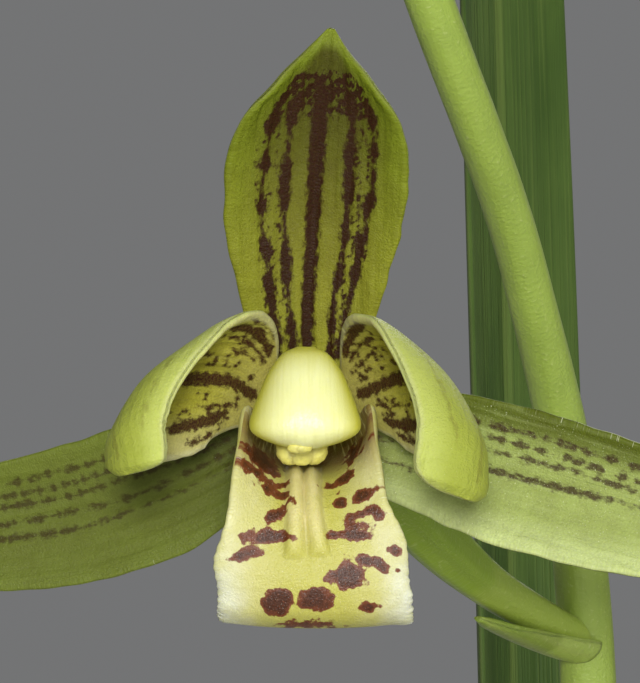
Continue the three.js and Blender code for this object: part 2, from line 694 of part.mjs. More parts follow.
// The other blooms: sepals, petals and column in one body round the top of the ovary, and a lip each
function addOtherBloom({ name, at, heading, nod }) {
    const bloom = bloomGroup(at, heading, nod);
    const opposite = { ...LATERAL_RIGHT, mirrored: true };
    const tepals = joined([
        solidOf(new THREE.SphereGeometry(HUB_RADIUS, 6, 4)),
        solidOf(rod(CLAW_PATH, [CLAW_RADIUS, CLAW_RADIUS], 5, 1)),
        solidOf(blade(DORSAL_SEPAL, 6, 2, TEPAL_THICKNESS)),
        solidOf(blade(LATERAL_RIGHT, 5, 2, TEPAL_THICKNESS)),
        solidOf(blade(opposite, 5, 2, TEPAL_THICKNESS)),
        solidOf(blade(PETAL_RIGHT, 5, 4, TEPAL_THICKNESS)),
        solidOf(blade({ ...PETAL_RIGHT, mirrored: true }, 5, 4, TEPAL_THICKNESS)),
        columnSolid(6, 2),
        solidOf(rod(NECK_PATH, [NECK_RADIUS, NECK_RADIUS], 5, 1)),
        solidOf(capGeometry(6, 2)),
    ]);
    addMesh(bloom, `bloom_${name}`, geometryOf(tepals), material('tepal', 0.5));
    addMesh(bloom, `lip_${name}`, blade(LIP, 8, 4, TEPAL_THICKNESS), material('lip', 0.4));
}

// The potting mix: a plug with bark chips sunk in its top and a plain hole for each bulb and for the stem
function addMix() {
    const low = POT.floor + MIX_GAP;
    const profile = [
        [0, low],
        [potInside(low) - MIX_GAP, low],
        [potInside(MIX_TOP) - MIX_GAP, MIX_TOP],
        [0, MIX_TOP],
    ];
    const plug = new THREE.LatheGeometry(profile.map(([r, z]) => new THREE.Vector2(r, z)), 40);
    plug.rotateX(Math.PI / 2);
    let mix = solidOf(plug);
    const widest = Math.max(...BULB_PROFILE);
    const holes = GROWTHS.map(({ x, y, size }) => [x, y, widest * size + 2 * MIX_GAP]);
    holes.push([SCAPE_PATH[0][0], SCAPE_PATH[0][1], SCAPE_RADII[0] + 2 * MIX_GAP]);
    chipPlaces(holes).forEach((chip) => {
        mix = mix.add(solidOf(chip));
    });
    holes.forEach(([x, y, radius]) => {
        const depth = ROOT_DEPTH + MIX_GAP;
        const hole = new THREE.CylinderGeometry(radius, radius, 2 * depth, 12);
        hole.rotateX(Math.PI / 2);
        hole.translate(x, y, MIX_TOP);
        mix = mix.subtract(solidOf(hole));
    });
    addMesh(group, 'potting_mix', geometryOf(mix), material('bark', 0.95));
}

function chipPlaces(holes) {
    const random = randomFrom(CHIPS.seed);
    const between = (low, high) => THREE.MathUtils.lerp(low, high, random());
    const edge = potInside(MIX_TOP) - CHIPS.fromWall;
    const centres = [];
    const chips = [];
    for (let i = 0; i < CHIPS.tries && chips.length < CHIPS.count; i++) {
        const x = between(-edge, edge);
        const y = between(-edge, edge);
        const size = between(CHIPS.smallest, CHIPS.largest);
        const turn = new THREE.Euler(
            between(-CHIPS.tilt, CHIPS.tilt),
            between(-CHIPS.tilt, CHIPS.tilt),
            between(0, Math.PI),
        );
        const clear = holes.every(([hx, hy, radius]) => (
            Math.hypot(x - hx, y - hy) > radius + CHIPS.fromHole
        ));
        const apart = centres.every(([cx, cy]) => Math.hypot(x - cx, y - cy) > CHIPS.spacing);
        if (Math.hypot(x, y) > edge || !clear || !apart) continue;
        centres.push([x, y]);
        const chip = new THREE.BoxGeometry(CHIPS.length * size, CHIPS.breadth * size, CHIPS.thickness);
        chip.applyMatrix4(new THREE.Matrix4().makeRotationFromEuler(turn));
        chip.translate(x, y, MIX_TOP + between(0, CHIPS.lift));
        chips.push(chip);
    }
    return chips;
}

addPot();
addMix();
GROWTHS.forEach((growth) => {
    addBulb(growth);
    addLeaves(growth);
});
addScape();
addMainBloom();
BLOOMS.forEach(addOtherBloom);

export default group;
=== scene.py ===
import math
import random

import bpy
import numpy as np
from mathutils import Matrix, Vector


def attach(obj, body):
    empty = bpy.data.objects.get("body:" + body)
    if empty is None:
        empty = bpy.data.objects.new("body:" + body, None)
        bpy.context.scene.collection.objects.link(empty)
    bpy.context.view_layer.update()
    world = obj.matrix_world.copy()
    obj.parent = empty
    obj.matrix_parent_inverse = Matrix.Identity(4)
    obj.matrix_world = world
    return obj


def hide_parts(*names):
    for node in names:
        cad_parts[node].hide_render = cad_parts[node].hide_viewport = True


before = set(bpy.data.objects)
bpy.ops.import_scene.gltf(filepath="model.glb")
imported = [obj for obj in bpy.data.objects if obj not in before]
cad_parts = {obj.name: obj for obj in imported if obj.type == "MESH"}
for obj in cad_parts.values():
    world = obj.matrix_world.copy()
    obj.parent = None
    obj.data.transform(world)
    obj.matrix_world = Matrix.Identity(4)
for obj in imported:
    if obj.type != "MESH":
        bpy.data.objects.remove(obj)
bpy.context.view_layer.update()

# Where the seeds of the blooms, bulbs and leaves begin, for the unevenness that each draws for itself
BLOOM_SEED = 100
BULB_SEED = 300
LEAF_SEED = 400

# Lengths are millimetres until a piece is made, and MM turns them into metres.
# The origin is the middle of the pot's underside, +Z is up and -Y is the front.
MM = 0.001

# The camera looks level along +Y from the photograph's viewing angle
CAMERA_AT = (-19.48, -260, 433.07)
FOCAL_PIXELS = 4600
PHOTO_HEIGHT = 683
SENSOR = 36

# The studio. A lamp is its place and width in metres and its power in watts, and all point at LIT_MIDDLE.
LAMPS = {
    "key": ((-0.04, -1.66, 0.72), 0.4, 24),
    "fill": ((1.3, -1.2, 0.7), 1.2, 7),
    "rim": ((0.4, 1.5, 1.4), 1.2, 12),
}
LIT_MIDDLE = (-0.02, -0.06, 0.4)
BACKDROP = (0.86, 0.87, 0.88, 1)
BACKDROP_STRENGTH = 0.2
FLOOR_RADIUS = 5000
FLOOR_HEIGHTS = (-30, -0.2)

# How thick a sepal, a petal and the lip are in the middle and at the margin
TEPAL_THICKNESS = 0.6
TEPAL_EDGE = 0.32

# The pot and its mix, whose plug's top lies MIX_SINK below the chips' middle height
POT_HEIGHT = 150
POT_FOOT = 55
POT_BODY = 68
POT_RIM = 76
POT_BAND = 27
POT_WALL = 6.5
POT_RIM_WALL = 7.5
POT_FLOOR = 8
POT_ROUNDING = 2.2
POT_COLUMNS = 164
DRAIN_RADIUS = 6
DRAIN_RING = 28
DRAIN_COUNT = 3
MIX_TOP = 134
MIX_GAP = 0.4
MIX_SINK = 1.6
ROOT_DEPTH = 9

# The bark chips: how many, their length, their breadth as a share of it, their thickness, how far they stay
# from the wall and from MIX_TOP, how much they tilt, and the share of the length that clears the bulbs
CHIPS = {
    "count": 300, "length": (3, 7.5), "breadth": (0.45, 0.7), "thickness": (1.2, 2.6), "from_wall": 3,
    "lift": 1.5, "tilt": 0.3, "tread": 0.55,
}

# The growths: a bulb each, with leaves in two ranks. A leaf is its seat on the bulb, the side it goes to,
# its angles from the upright at foot and tip, its length, half-width and sideways sway. turn is the angle
# that its blade is twisted by, and fold how much deeper than usual it is folded.
BULB_HEIGHT = 36
BULB_PROFILE = [9, 12.6, 14, 13.6, 11.6, 7.6, 2]
BULB_FLATNESS = 0.86
SEATS = {"flank": 0.3, "shoulder": 0.86}
SEAT_GAP = 0.85
CROWN_FROM = 1
CROWN_LIFT = 0.45
GROWTHS = {
    "right": {
        "at": (23, 8), "fan": 14, "size": 1,
        "leaves": [
            {"seat": "flank", "side": 1, "lean": (20, 134), "length": 410, "half": 7, "sway": 34},
            {"seat": "shoulder", "side": 1, "lean": (14, 102), "length": 470, "half": 7.4, "sway": -30},
            {"seat": "crown", "side": 1, "lean": (8, 72), "length": 450, "half": 6.6, "sway": 26},
            {"seat": "shoulder", "side": -1, "lean": (8, 30), "length": 236, "half": 5.6, "sway": 14},
        ],
    },
    "left": {
        "at": (-27, 18), "fan": 172, "size": 0.96,
        "leaves": [
            {"seat": "flank", "side": 1, "lean": (22, 132), "length": 420, "half": 7.2, "sway": 38},
            {"seat": "shoulder", "side": 1, "lean": (15, 106), "length": 470, "half": 7.4, "sway": -34},
            {"seat": "crown", "side": 1, "lean": (13, 82), "length": 410, "half": 6.6, "sway": 10},
            {"seat": "shoulder", "side": -1, "lean": (10, 44), "length": 232, "half": 5.4, "sway": 14},
        ],
    },
    "back": {
        "at": (-4.4, 40), "fan": 90, "size": 0.92,
        "leaves": [
            {"seat": "flank", "side": 1, "lean": (20, 122), "length": 400, "half": 7, "sway": -46},
            {
                "seat": "shoulder", "side": 1, "lean": (4, 58), "length": 500, "half": 7.2, "sway": 1,
                "turn": -50, "fold": 1.9,
            },
        ],
    },
    "front": {
        "at": (34, -29), "fan": -10, "size": 0.84,
        "leaves": [
            {"seat": "flank", "side": 1, "lean": (24, 136), "length": 350, "half": 6.4, "sway": -40},
            {"seat": "shoulder", "side": 1, "lean": (15, 106), "length": 410, "half": 6.6, "sway": -62},
            {"seat": "shoulder", "side": -1, "lean": (10, 30), "length": 200, "half": 5.2, "sway": 30},
        ],
    },
    "old": {
        "at": (-34, -18), "fan": 200, "size": 0.88,
        "leaves": [
            {"seat": "flank", "side": 1, "lean": (26, 128), "length": 340, "half": 6.2, "sway": -36},
            {"seat": "shoulder", "side": 1, "lean": (16, 112), "length": 390, "half": 6.6, "sway": 40},
        ],
    },
}
LEAF_HALF = [1.18, 0.96, 0.86, 0.9, 0.97, 1, 1, 0.96, 0.88, 0.76, 0.58, 0.35, 0.06]
LEAF_CURL = [0.5, 0.75, 0.7, 0.55, 0.45, 0.4, 0.36, 0.33, 0.3, 0.28, 0.25, 0.2, 0.1]
LEAF_STATIONS = 14

# The dry sheaths round a bulb: the angles at which they stand from the bulb's fan, their half-width from
# foot to tip as a share of the widest, the share of the bulb's height where they begin, their distance
# from its skin, and the ranges of their height as a share of the bulb's and of their half-width
HUSK_TURNS = (8, 78, 150, 205, 290)
HUSK_HALF = [1, 1, 0.95, 0.75, 0.42, 0.05]
HUSK_FOOT = 0.16
HUSK_GAP = 0.7
HUSK_HEIGHTS = (0.42, 0.8)
HUSK_HALVES = (6, 8.5)

# The flower stem with its ovaries, buds, sheaths and bracts. A bud is its node on the stem, its base, its
# radius and its length, and a sheath the shares of the stem between which it stands and its radius.
SCAPE_PATH = [
    (9, -14, 126), (8.4, -15, 165), (6.9, -17.5, 210), (4.6, -20.5, 255), (1.6, -24, 300), (-2, -28, 342),
    (-5.4, -32, 383), (-6.5, -35, 419.2), (-9.9, -48.6, 435.6), (-14.8, -61.8, 447.9), (-21.5, -71, 465),
    (-30.5, -80, 481), (-42, -90, 494), (-56, -100, 503.5), (-71, -109, 508), (-85, -117, 508.5),
]
SCAPE_RADII = [2.5, 2.4, 2.3, 2.2, 2.05, 1.9, 1.6, 1.35, 1.08, 1.04, 1.04, 1.02, 1, 0.95, 0.85, 0.7]
OVARY_RADII = [0.9, 0.92, 1.05, 1.3, 1.5, 1.15]
OVARY_END = -0.5
BUD_PROFILE = [0.45, 0.86, 1, 0.84, 0.2]
MAIN_BLOOM = {"at": (-20, -60, 430), "heading": 0, "nod": 0}
OTHER_BLOOMS = {
    "lowest": {"node": (-5.5, -32.2, 384), "at": (18, -38, 378), "heading": 62, "nod": 4},
    "upper_right": {"node": (-17.6, -66, 455), "at": (6, -80, 469), "heading": 34, "nod": 8},
    "upper_left": {"node": (-29, -78.6, 478.5), "at": (-54, -86, 484), "heading": -46, "nod": 0},
    "top": {"node": (-49, -95, 499), "at": (-32, -116, 514), "heading": 14, "nod": 10},
}
MAIN_OVARY = [
    (-6.5, -35, 418.4), (-8.6, -37.9, 419.6), (-11.6, -42.6, 421.6), (-14.2, -47.8, 424),
    (-17, -53.7, 427.3), (-20, -59.6, 430),
]
BUDS = [
    {"node": (-63, -104.5, 506.2), "at": (-66, -124, 516), "radius": 3.4, "length": 14},
    {"node": (-72, -109.6, 508), "at": (-90, -108, 517), "radius": 3, "length": 12.5},
    {"node": (-84, -116.4, 508.4), "at": (-97, -124, 506), "radius": 2.5, "length": 11},
]
SHEATHS = [
    {"from": 0.03, "to": 0.11, "radius": 3.3},
    {"from": 0.14, "to": 0.21, "radius": 3.1},
    {"from": 0.26, "to": 0.33, "radius": 2.9},
]
SHEATH_INSET = [0.4, 0.1, 0, 0.1, 0.3]
SHEATH_HALF = [2.9, 2.9, 2.7, 1.9, 0.2]
SHEATH_CURL = [2.9, 2.9, 2.7, 1.9, 0.3]
BRACT_ALONG = [0.02, 0.15, 0.28, 0.41]
BRACT_BELOW = [1, 1.25, 1.5, 1.8]
BRACT_HALF = [1.5, 1.3, 0.9, 0.15]
BRACT_CURL = [1.2, 1.1, 0.8, 0.4]

# The bloom's forms, in its own frame: x to the right, y up and z to the front, from the bloom's middle.
# A blade is a curved sheet round a spine: `half` and `curl` are its half-width and the angle that its
# section turns from midvein to margin, on the side that `across` points to, or on both, where `half_low`
# and `curl_low` don't give the other side. From the share `tip` on a blade rounds off, the more bluntly
# the higher `bluntness` is. `hood` turns its margins in near the end, and `mirrored` swaps left and right.
DORSAL_SEPAL = {
    "spine": [
        (0, 0.8, -0.8), (0.02, 1.9, -0.6), (0.05, 3.2, -0.3), (0.08, 4.5, 0), (0.12, 5.9, 0.3),
        (0.17, 7.2, 0.6), (0.23, 8.5, 0.9), (0.32, 9.8, 1.3), (0.44, 11.1, 1.7), (0.6, 12.4, 2.2),
        (0.72, 13.6, 2.7), (0.8, 14.6, 3.2), (0.88, 15.5, 3.6), (1, 16.4, 4),
    ],
    "across": [(-1, 0, 0), (-1, 0, 0)],
    "half": [1.3, 2.16, 2.5, 2.88, 3.28, 3.62, 3.9, 4.06, 4.1, 3.86, 3.3, 2.2, 0.9, 0.1],
    "hood": 0.45,
    "curl": [0.3, 0.3, 0.35, 0.4, 0.5, 0.55, 0.6, 0.65, 0.7, 0.75, 0.8, 0.8, 0.6, 0.4],
}
LATERAL_RIGHT = {
    "spine": [
        (0.95, -0.7, -0.6), (1.95, -0.95, -0.35), (3.8, -1.45, 0.1), (6.2, -1.95, 0.6),
        (8.75, -2.75, 1.2), (11.5, -3.5, 1.8), (14.3, -4.25, 2.3), (16.8, -4.95, 2.6), (19.1, -5.5, 2.8),
    ],
    "across": [(0.2, 1, 0), (0.2, 1, 0)],
    "half": [0.8, 1.6, 2.2, 2.75, 3, 3, 2.8, 2.1, 0.2],
    "curl": [0.2, 0.4, 0.5, 0.6, 0.5],
}
LATERAL_LEFT = {
    "spine": [
        (-0.95, -0.7, -0.6), (-2.1, -1.15, -0.9), (-3.65, -2, -1.3), (-6.1, -3.2, -2),
        (-8.65, -4.1, -2.8), (-11, -4.7, -3.5), (-13.7, -5.2, -4.2), (-16.4, -5.7, -4.9),
        (-19.1, -6.1, -5.4),
    ],
    "across": [(0.2, -1, 0), (0.2, -1, 0)],
    "half": [0.8, 1.7, 2.3, 2.95, 3.1, 3, 2.75, 2.1, 0.2],
    "curl": [0.2, 0.4, 0.5, 0.5, 0.4],
}
PETAL_RIGHT = {
    "spine": [
        (2, 0.8, 0.3), (3.2, 1.6, 2), (4.5, 1.95, 4), (5.85, 1.2, 6.2), (6.85, -0.75, 8), (6.8, -2.4, 8.8),
        (6.55, -3.5, 9),
    ],
    "across": [
        (-0.35, 1, 0.1), (-0.3, 0.95, 0.2), (-0.25, 0.85, 0.45), (-0.3, 0.6, 0.75), (-0.4, 0.35, 0.84),
        (-0.6, 0.1, 0.75), (-0.75, -0.1, 0.65),
    ],
    "half": [0.9, 2.65, 3, 2.75, 2.75, 2.55, 2.2],
    "half_low": [1.4, 3.3, 4.1, 4, 3.4, 2.4, 1.5],
    "curl": [0.2, 0.4, 0.7, 1.05, 1.15, 1.1, 0.9],
    "curl_low": [0.1, 0.3, 0.5, 0.8, 1, 1, 0.8],
    "tip": 0.8,
    "bluntness": 6,
}
PETAL_LEFT = {
    "spine": [
        (2, 0.8, 0.3), (3.4, 1.7, 1.9), (5.1, 1.9, 3.6), (6.75, 1.25, 5.6), (7.7, -0.4, 7), (7.65, -1.6, 7.6),
        (7.5, -2.5, 7.7),
    ],
    "across": [
        (-0.4, 1, 0.1), (-0.3, 0.95, 0.25), (-0.3, 0.85, 0.45), (-0.4, 0.65, 0.7), (-0.45, 0.4, 0.82),
        (-0.6, 0, 0.75), (-0.75, -0.3, 0.65),
    ],
    "half": [0.9, 3, 3.05, 2.35, 2.1, 1.85, 1.8],
    "half_low": [1.4, 3.3, 4.1, 3.9, 3.3, 2.3, 1.6],
    "curl": [0.2, 0.4, 0.7, 1.05, 1.15, 1.1, 0.9],
    "curl_low": [0.1, 0.3, 0.4, 0.5, 0.7, 0.8, 0.8],
    "tip": 0.8,
    "bluntness": 6,
    "mirrored": True,
}
LIP = {
    "spine": [
        (0, -1.9, 0.8), (0, -2.3, 2.3), (0, -2.8, 4), (0, -3.25, 5.8), (0.05, -4.2, 7.2),
        (0.2, -5.6, 7.9), (0.3, -7, 8.1), (0.36, -8.1, 7.7), (0.38, -8.65, 6.8), (0.36, -8.7, 5.8),
    ],
    "across": [(1, 0, 0), (1, 0, 0)],
    "half": [1.8, 3.3, 4.7, 3.8, 3.3, 3.75, 3.8, 3.85, 3.85, 3.7],
    "half_low": [1.8, 3.3, 4.6, 3.8, 3.4, 3.95, 3.95, 3.95, 3.9, 3.7],
    "curl": [1.1, 1.5, 1.75, 1.3, 0.55, 0.1, -0.1, -0.1, -0.1, -0.1],
}

# The lip's two keels: their height and half-width, the place of the seam between them across the lip, and
# for each its distance from the seam and how far its lower end parts from the other
KEEL_HEIGHT = 0.5
KEEL_HALF = 0.42
KEEL_SEAM = -0.22
KEEL_SIDES = ((-0.4, -0.14), (0.42, 0.1))

# The column, the hub behind it in the smaller blooms, and the body below the anther cap, with the middles
# and half-sizes of its swellings
COLUMN_PATH = [(0, 0.45, -0.05), (0, 0.7, 1.6), (0, 0.85, 3.4), (-0.05, 0.7, 5.6)]
COLUMN_RADII = [1.05, 1.15, 1.35, 1.6]
HUB_RADIUS = 1.35
CHIN_PATH = [(0, 0, 4.6), (-0.1, -0.9, 5.2), (-0.15, -1.4, 5.9), (-0.15, -1.5, 6.5)]
CHIN_RADII = [1, 0.8, 0.55, 0.3]
CHIN_BREADTH = 1.6
CHIN_LUMPS = [
    ((-0.72, -1.5, 6.35), (0.6, 0.64, 0.6)), ((0.24, -1.5, 6.35), (0.6, 0.62, 0.6)),
    ((-0.24, -1.46, 6.5), (0.85, 0.66, 0.55)), ((-0.44, -1.34, 8.3), (0.42, 0.27, 0.36)),
    ((-0.22, -1.34, 8.32), (0.42, 0.25, 0.36)),
]

# The anther cap, in level sections from the top down: height, z, half-width, depth before and behind z.
# CAP_MIDDLE is its middle's x, and CAP_SPAN the length down its front that its material reckons with.
CAP_SECTIONS = [
    (2.85, 6.6, 0.35, 0.2, 0.2),
    (2.55, 6.8, 0.96, 0.65, 0.6),
    (1.85, 7.1, 1.51, 1.1, 0.85),
    (1, 7.4, 1.9, 1.4, 1.05),
    (0.2, 7.65, 2.2, 1.55, 1.2),
    (-0.4, 7.8, 2.34, 1.55, 1.2),
    (-0.8, 7.85, 2.15, 1.4, 1.1),
    (-1.15, 7.82, 1.48, 1, 0.8),
    (-1.4, 7.75, 0.6, 0.4, 0.4),
]
CAP_MIDDLE = -0.1
CAP_SPAN = 4.4

# Stains along the tepals. A stripe is its place from midvein (0) to margin (1 or -1), its half-width, where
# it starts and ends and how broken it is.
DORSAL_STRIPES = [
    (0.01, 0.36, 0, 0.88, 0), (0.36, 0.3, 0.04, 0.87, 0.5), (0.6, 0.36, 0.08, 0.85, 0.55),
    (-0.36, 0.3, 0.04, 0.87, 0.5), (-0.6, 0.32, 0.08, 0.85, 0.65),
]
PETAL_STRIPES = [
    (-0.1, 0.36, 0, 0.45, 0), (0.68, 0.44, 0.06, 0.36, 0.35), (0.5, 0.2, 0.06, 0.34, 0.5),
    (0.33, 0.17, 0.08, 0.3, 0.7), (-0.42, 0.17, 0.06, 0.36, 0.6), (-0.64, 0.42, 0.08, 0.44, 0.3),
    (-0.84, 0.2, 0.12, 0.36, 0.6), (0.82, 0.16, 0.08, 0.3, 0.6),
]
PETAL_BACK_STRIPES = [
    (-0.05, 0.16, 0.3, 0.95, 0.5), (0.4, 0.1, 0.35, 0.85, 0.8), (-0.45, 0.1, 0.35, 0.85, 0.8),
]
LATERAL_RIGHT_STRIPES = [
    (0.05, 0.16, 0.02, 0.85, 0.9), (0.3, 0.16, 0.03, 0.85, 1), (0.5, 0.18, 0.05, 0.85, 1),
    (0.7, 0.2, 0.06, 0.8, 1), (-0.35, 0.12, 0.04, 0.5, 1),
]
LATERAL_LEFT_STRIPES = [
    (0.2, 0.16, 0.02, 0.85, 0.9), (-0.05, 0.16, 0.03, 0.85, 1), (-0.3, 0.18, 0.04, 0.85, 1),
    (-0.5, 0.18, 0.05, 0.85, 1), (-0.7, 0.2, 0.06, 0.8, 1),
]

# Stains on the lip, as VIEW_FROM, the camera's place in the main bloom's frame, sees them on the plane
# z = LIP_PLANE: middle x and y, half-lengths and slant in degrees
VIEW_FROM = (0.52, 3.07, 200)
LIP_PLANE = 8
LIP_STAINS = [
    (-1.27, -7.8, 0.66, 0.56, 0), (0.35, -7.68, 0.7, 0.45, 0), (1.65, -6.76, 0.8, 0.5, 0),
    (2.57, -8.01, 0.38, 0.2, 15), (-0.4, -8.76, 0.5, 0.12, 0), (0.65, -8.72, 0.5, 0.12, 0),
    (2.65, -6.13, 0.8, 0.22, -20), (3.65, -5.63, 0.28, 0.2, 0), (1.86, -5.01, 0.75, 0.25, 0),
    (2.06, -4.63, 0.45, 0.15, 0), (2.4, -4.05, 0.7, 0.2, 18), (3.02, -4.13, 0.33, 0.2, 0),
    (2.27, -3.42, 0.46, 0.2, 28), (1.44, -3.71, 0.3, 0.2, 0), (1.56, -2.63, 0.5, 0.18, 50),
    (1.02, -2.96, 0.33, 0.1, 0), (1.9, -1.62, 0.6, 0.15, 55), (-1.69, -5.05, 0.92, 0.3, 0),
    (-2.57, -5.8, 0.65, 0.2, 15), (-1.23, -4.13, 0.5, 0.25, 25), (-1.36, -3.25, 0.65, 0.16, -30),
    (-0.98, -3.34, 0.35, 0.12, 0), (-1.19, -2.92, 0.3, 0.1, 0), (-2.23, -2.33, 0.75, 0.17, -38),
    (-1.94, -1.88, 0.9, 0.3, -40),
]


def unit(vectors):
    return vectors / np.maximum(np.linalg.norm(vectors, axis=-1, keepdims=True), 1e-12)


def smooth(x, low, high):
    """0 below low, 1 above high and a smooth step between them."""
    share = np.clip((np.asarray(x, float) - low) / (high - low), 0, 1)
    return share * share * (3 - 2 * share)


def along(rows, u):
    """A smooth curve through evenly spaced rows of numbers, at each u from 0 to 1."""
    rows = np.asarray(rows, float)
    flat = rows.ndim == 1
    rows = rows.reshape(len(rows), -1)
    padded = np.vstack([2 * rows[0] - rows[1], rows, 2 * rows[-1] - rows[-2]])
    place = np.clip(np.asarray(u, float), 0, 1) * (len(rows) - 1)
    first = np.minimum(place.astype(int), len(rows) - 2)
    t = (place - first)[..., None]
    p0, p1, p2, p3 = (padded[first + i] for i in range(4))
    bend = (2 * p0 - 5 * p1 + 4 * p2 - p3) * t**2 + (3 * p1 - p0 - 3 * p2 + p3) * t**3
    curve = 0.5 * (2 * p1 + (p2 - p0) * t + bend)
    return curve[..., 0] if flat else curve


def heading_along(points, u):
    return unit(along(points, u + 0.001) - along(points, u - 0.001))


def ripples(seed, *axes):
    """A smooth random field from about -1 to 1 over arrays of numbers, a few crests to each unit."""
    draw = random.Random(seed)
    field = 0
    for i in range(7):
        phase = draw.uniform(0, 2 * math.pi)
        field = field + np.sin(sum(draw.uniform(-1, 1) * (4 + 2 * i) * axis for axis in axes) + phase)
    return field / 3.5


class Build:
    """The closed bodies of one piece, with the numbers that its material reads at each point.

    place is where a point lies on its surface in millimetres: across, along and which face. share is the
    same in shares of the whole, and mark is how far it lies inside a stain, in millimetres.
    """

    def __init__(self, matrix=None):
        self.matrix = matrix
        self.points = []
        self.faces = []
        self.materials = []
        self.numbers = {"place": [], "share": [], "mark": []}
        self.count = 0

    def add(self, points, faces, materials, place, share, mark=None):
        """points is an array, faces a list of arrays of corners, materials a number for each array."""
        points = np.asarray(points, float).reshape(-1, 3)
        a, b, c = (np.concatenate([f[:, i] for f in faces]) for i in (0, 1, 2))
        far = np.concatenate([f[:, -1] for f in faces])
        volume = sum((np.cross(points[a], points[b]) * points[c]).sum(1))
        volume += sum((np.cross(points[a], points[c]) * points[far]).sum(1))
        for corners, material in zip(faces, materials):
            turned = corners if volume > 0 else corners[:, ::-1]
            self.faces.append(turned + self.count)
            self.materials.append(np.full(len(corners), material))
        if self.matrix is not None:
            points = points @ np.array(self.matrix.to_3x3()).T + np.array(self.matrix.translation)
        self.points.append(points)
        self.numbers["place"].append(np.asarray(place, float).reshape(-1, 3))
        self.numbers["share"].append(np.asarray(share, float).reshape(-1, 3))
        blank = np.full(len(points), -1.0)
        self.numbers["mark"].append(blank if mark is None else np.asarray(mark, float).reshape(-1))
        self.count += len(points)

    def piece(self, name, slot, materials, replaces=()):
        mesh = bpy.data.meshes.new(name)
        faces = [corners for block in self.faces for corners in block.tolist()]
        mesh.from_pydata((np.concatenate(self.points) * MM).tolist(), [], faces)
        mesh.polygons.foreach_set("material_index", np.concatenate(self.materials).astype(np.int32))
        mesh.polygons.foreach_set("use_smooth", np.ones(len(faces), bool))
        for key, kind in (("place", "FLOAT_VECTOR"), ("share", "FLOAT_VECTOR"), ("mark", "FLOAT")):
            values = np.concatenate(self.numbers[key]).astype(np.float32).ravel()
            field = "value" if kind == "FLOAT" else "vector"
            mesh.attributes.new(key, kind, "POINT").data.foreach_set(field, values)
        for material in materials:
            mesh.materials.append(material)
        mesh.update()
        return settle(bpy.data.objects.new(name, mesh), replaces)


def settle(piece, replaces=()):
    """Links a piece, rides it on the part's one body and hides the parts that it replaces."""
    bpy.context.scene.collection.objects.link(piece)
    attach(piece, "root")
    if replaces:
        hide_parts(*replaces)
    return piece


def round_grid(values, columns, start=0):
    """A grid of rings: the value of each ring and the angle of each column, at every point."""
    angle = np.linspace(start, start + 2 * math.pi, columns, endpoint=False)
    return np.meshgrid(values, angle, indexing="ij")


def grid_faces(rows, columns):
    """The quads of a grid of rings, with the last column joined to the first."""
    i, k = np.meshgrid(np.arange(rows - 1), np.arange(columns), indexing="ij")
    i, k = i.ravel(), k.ravel()
    after = (k + 1) % columns
    a, b = i * columns + k, i * columns + after
    return np.stack([a, b, b + columns, a + columns], 1)


def loft(build, rings, place, share, mark=None, material=0):
    """A closed body from rings of points, with a fan over each end."""
    rows, columns = rings.shape[:2]
    points = np.concatenate([rings.reshape(-1, 3), rings[:1].mean(1), rings[-1:].mean(1)])

    def with_ends(values):
        flat = values.reshape(rows * columns, -1)
        return np.concatenate([flat, values[:1].mean(1).reshape(1, -1), values[-1:].mean(1).reshape(1, -1)])

    k = np.arange(columns)
    after = (k + 1) % columns
    last = (rows - 1) * columns
    start = np.stack([np.full(columns, rows * columns), after, k], 1)
    end = np.stack([np.full(columns, rows * columns + 1), last + k, last + after], 1)
    faces = [grid_faces(rows, columns), start, end]
    stain = None if mark is None else with_ends(mark)
    build.add(points, faces, [material] * 3, with_ends(place), with_ends(share), stain)


def rod(build, path, radii, sides, steps, shape=None, material=0, scale=(1, 1, 1)):
    """A rod along a path. shape gives each point's share of the radius from its u and its angle, and scale
    stretches the whole along the axes."""
    u = np.linspace(0, 1, steps + 1)
    centre = along(path, u)
    ahead = heading_along(path, u)
    aside = unit(np.cross(np.array([0, 1, 0.13]), ahead))
    other = np.cross(ahead, aside)
    u_grid, angle_grid = round_grid(u, sides)
    radius = along(radii, u)[:, None] * (1 if shape is None else shape(u_grid, angle_grid))
    radius = np.broadcast_to(radius, u_grid.shape)
    rings = centre[:, None] + radius[..., None] * (
        np.cos(angle_grid)[..., None] * aside[:, None] + np.sin(angle_grid)[..., None] * other[:, None]
    )
    length = np.concatenate([[0], np.cumsum(np.linalg.norm(np.diff(centre, axis=0), axis=1))])
    place = np.stack([angle_grid * radius, np.broadcast_to(length[:, None], u_grid.shape), 0 * u_grid], -1)
    share = np.stack([u_grid, np.cos(angle_grid), np.sin(angle_grid)], -1)
    loft(build, rings * np.array(scale), place, share, material=material)


def blade_stations(form, steps):
    """A blade's middle line, its frame and the half-widths and curls of its two sides, low and high."""
    u = np.linspace(0, 1, steps + 1)
    ahead = heading_along(form["spine"], u)
    across = along(form["across"], u)
    across = unit(across - (across * ahead).sum(1, keepdims=True) * ahead)
    narrowing = np.ones_like(u)
    if "tip" in form:
        beyond = np.clip((u - form["tip"]) / (1 - form["tip"]), 0, 1)
        narrowing = np.maximum(1 - beyond ** form.get("bluntness", 2), 0.0004) ** 0.5
    halves = form.get("half_low", form["half"]), form["half"]
    curls = form.get("curl_low", form["curl"]), form["curl"]
    sides = [(along(half, u) * narrowing, along(curl, u)) for half, curl in zip(halves, curls)]
    return {"u": u, "point": along(form["spine"], u), "ahead": ahead, "across": across, "sides": sides}


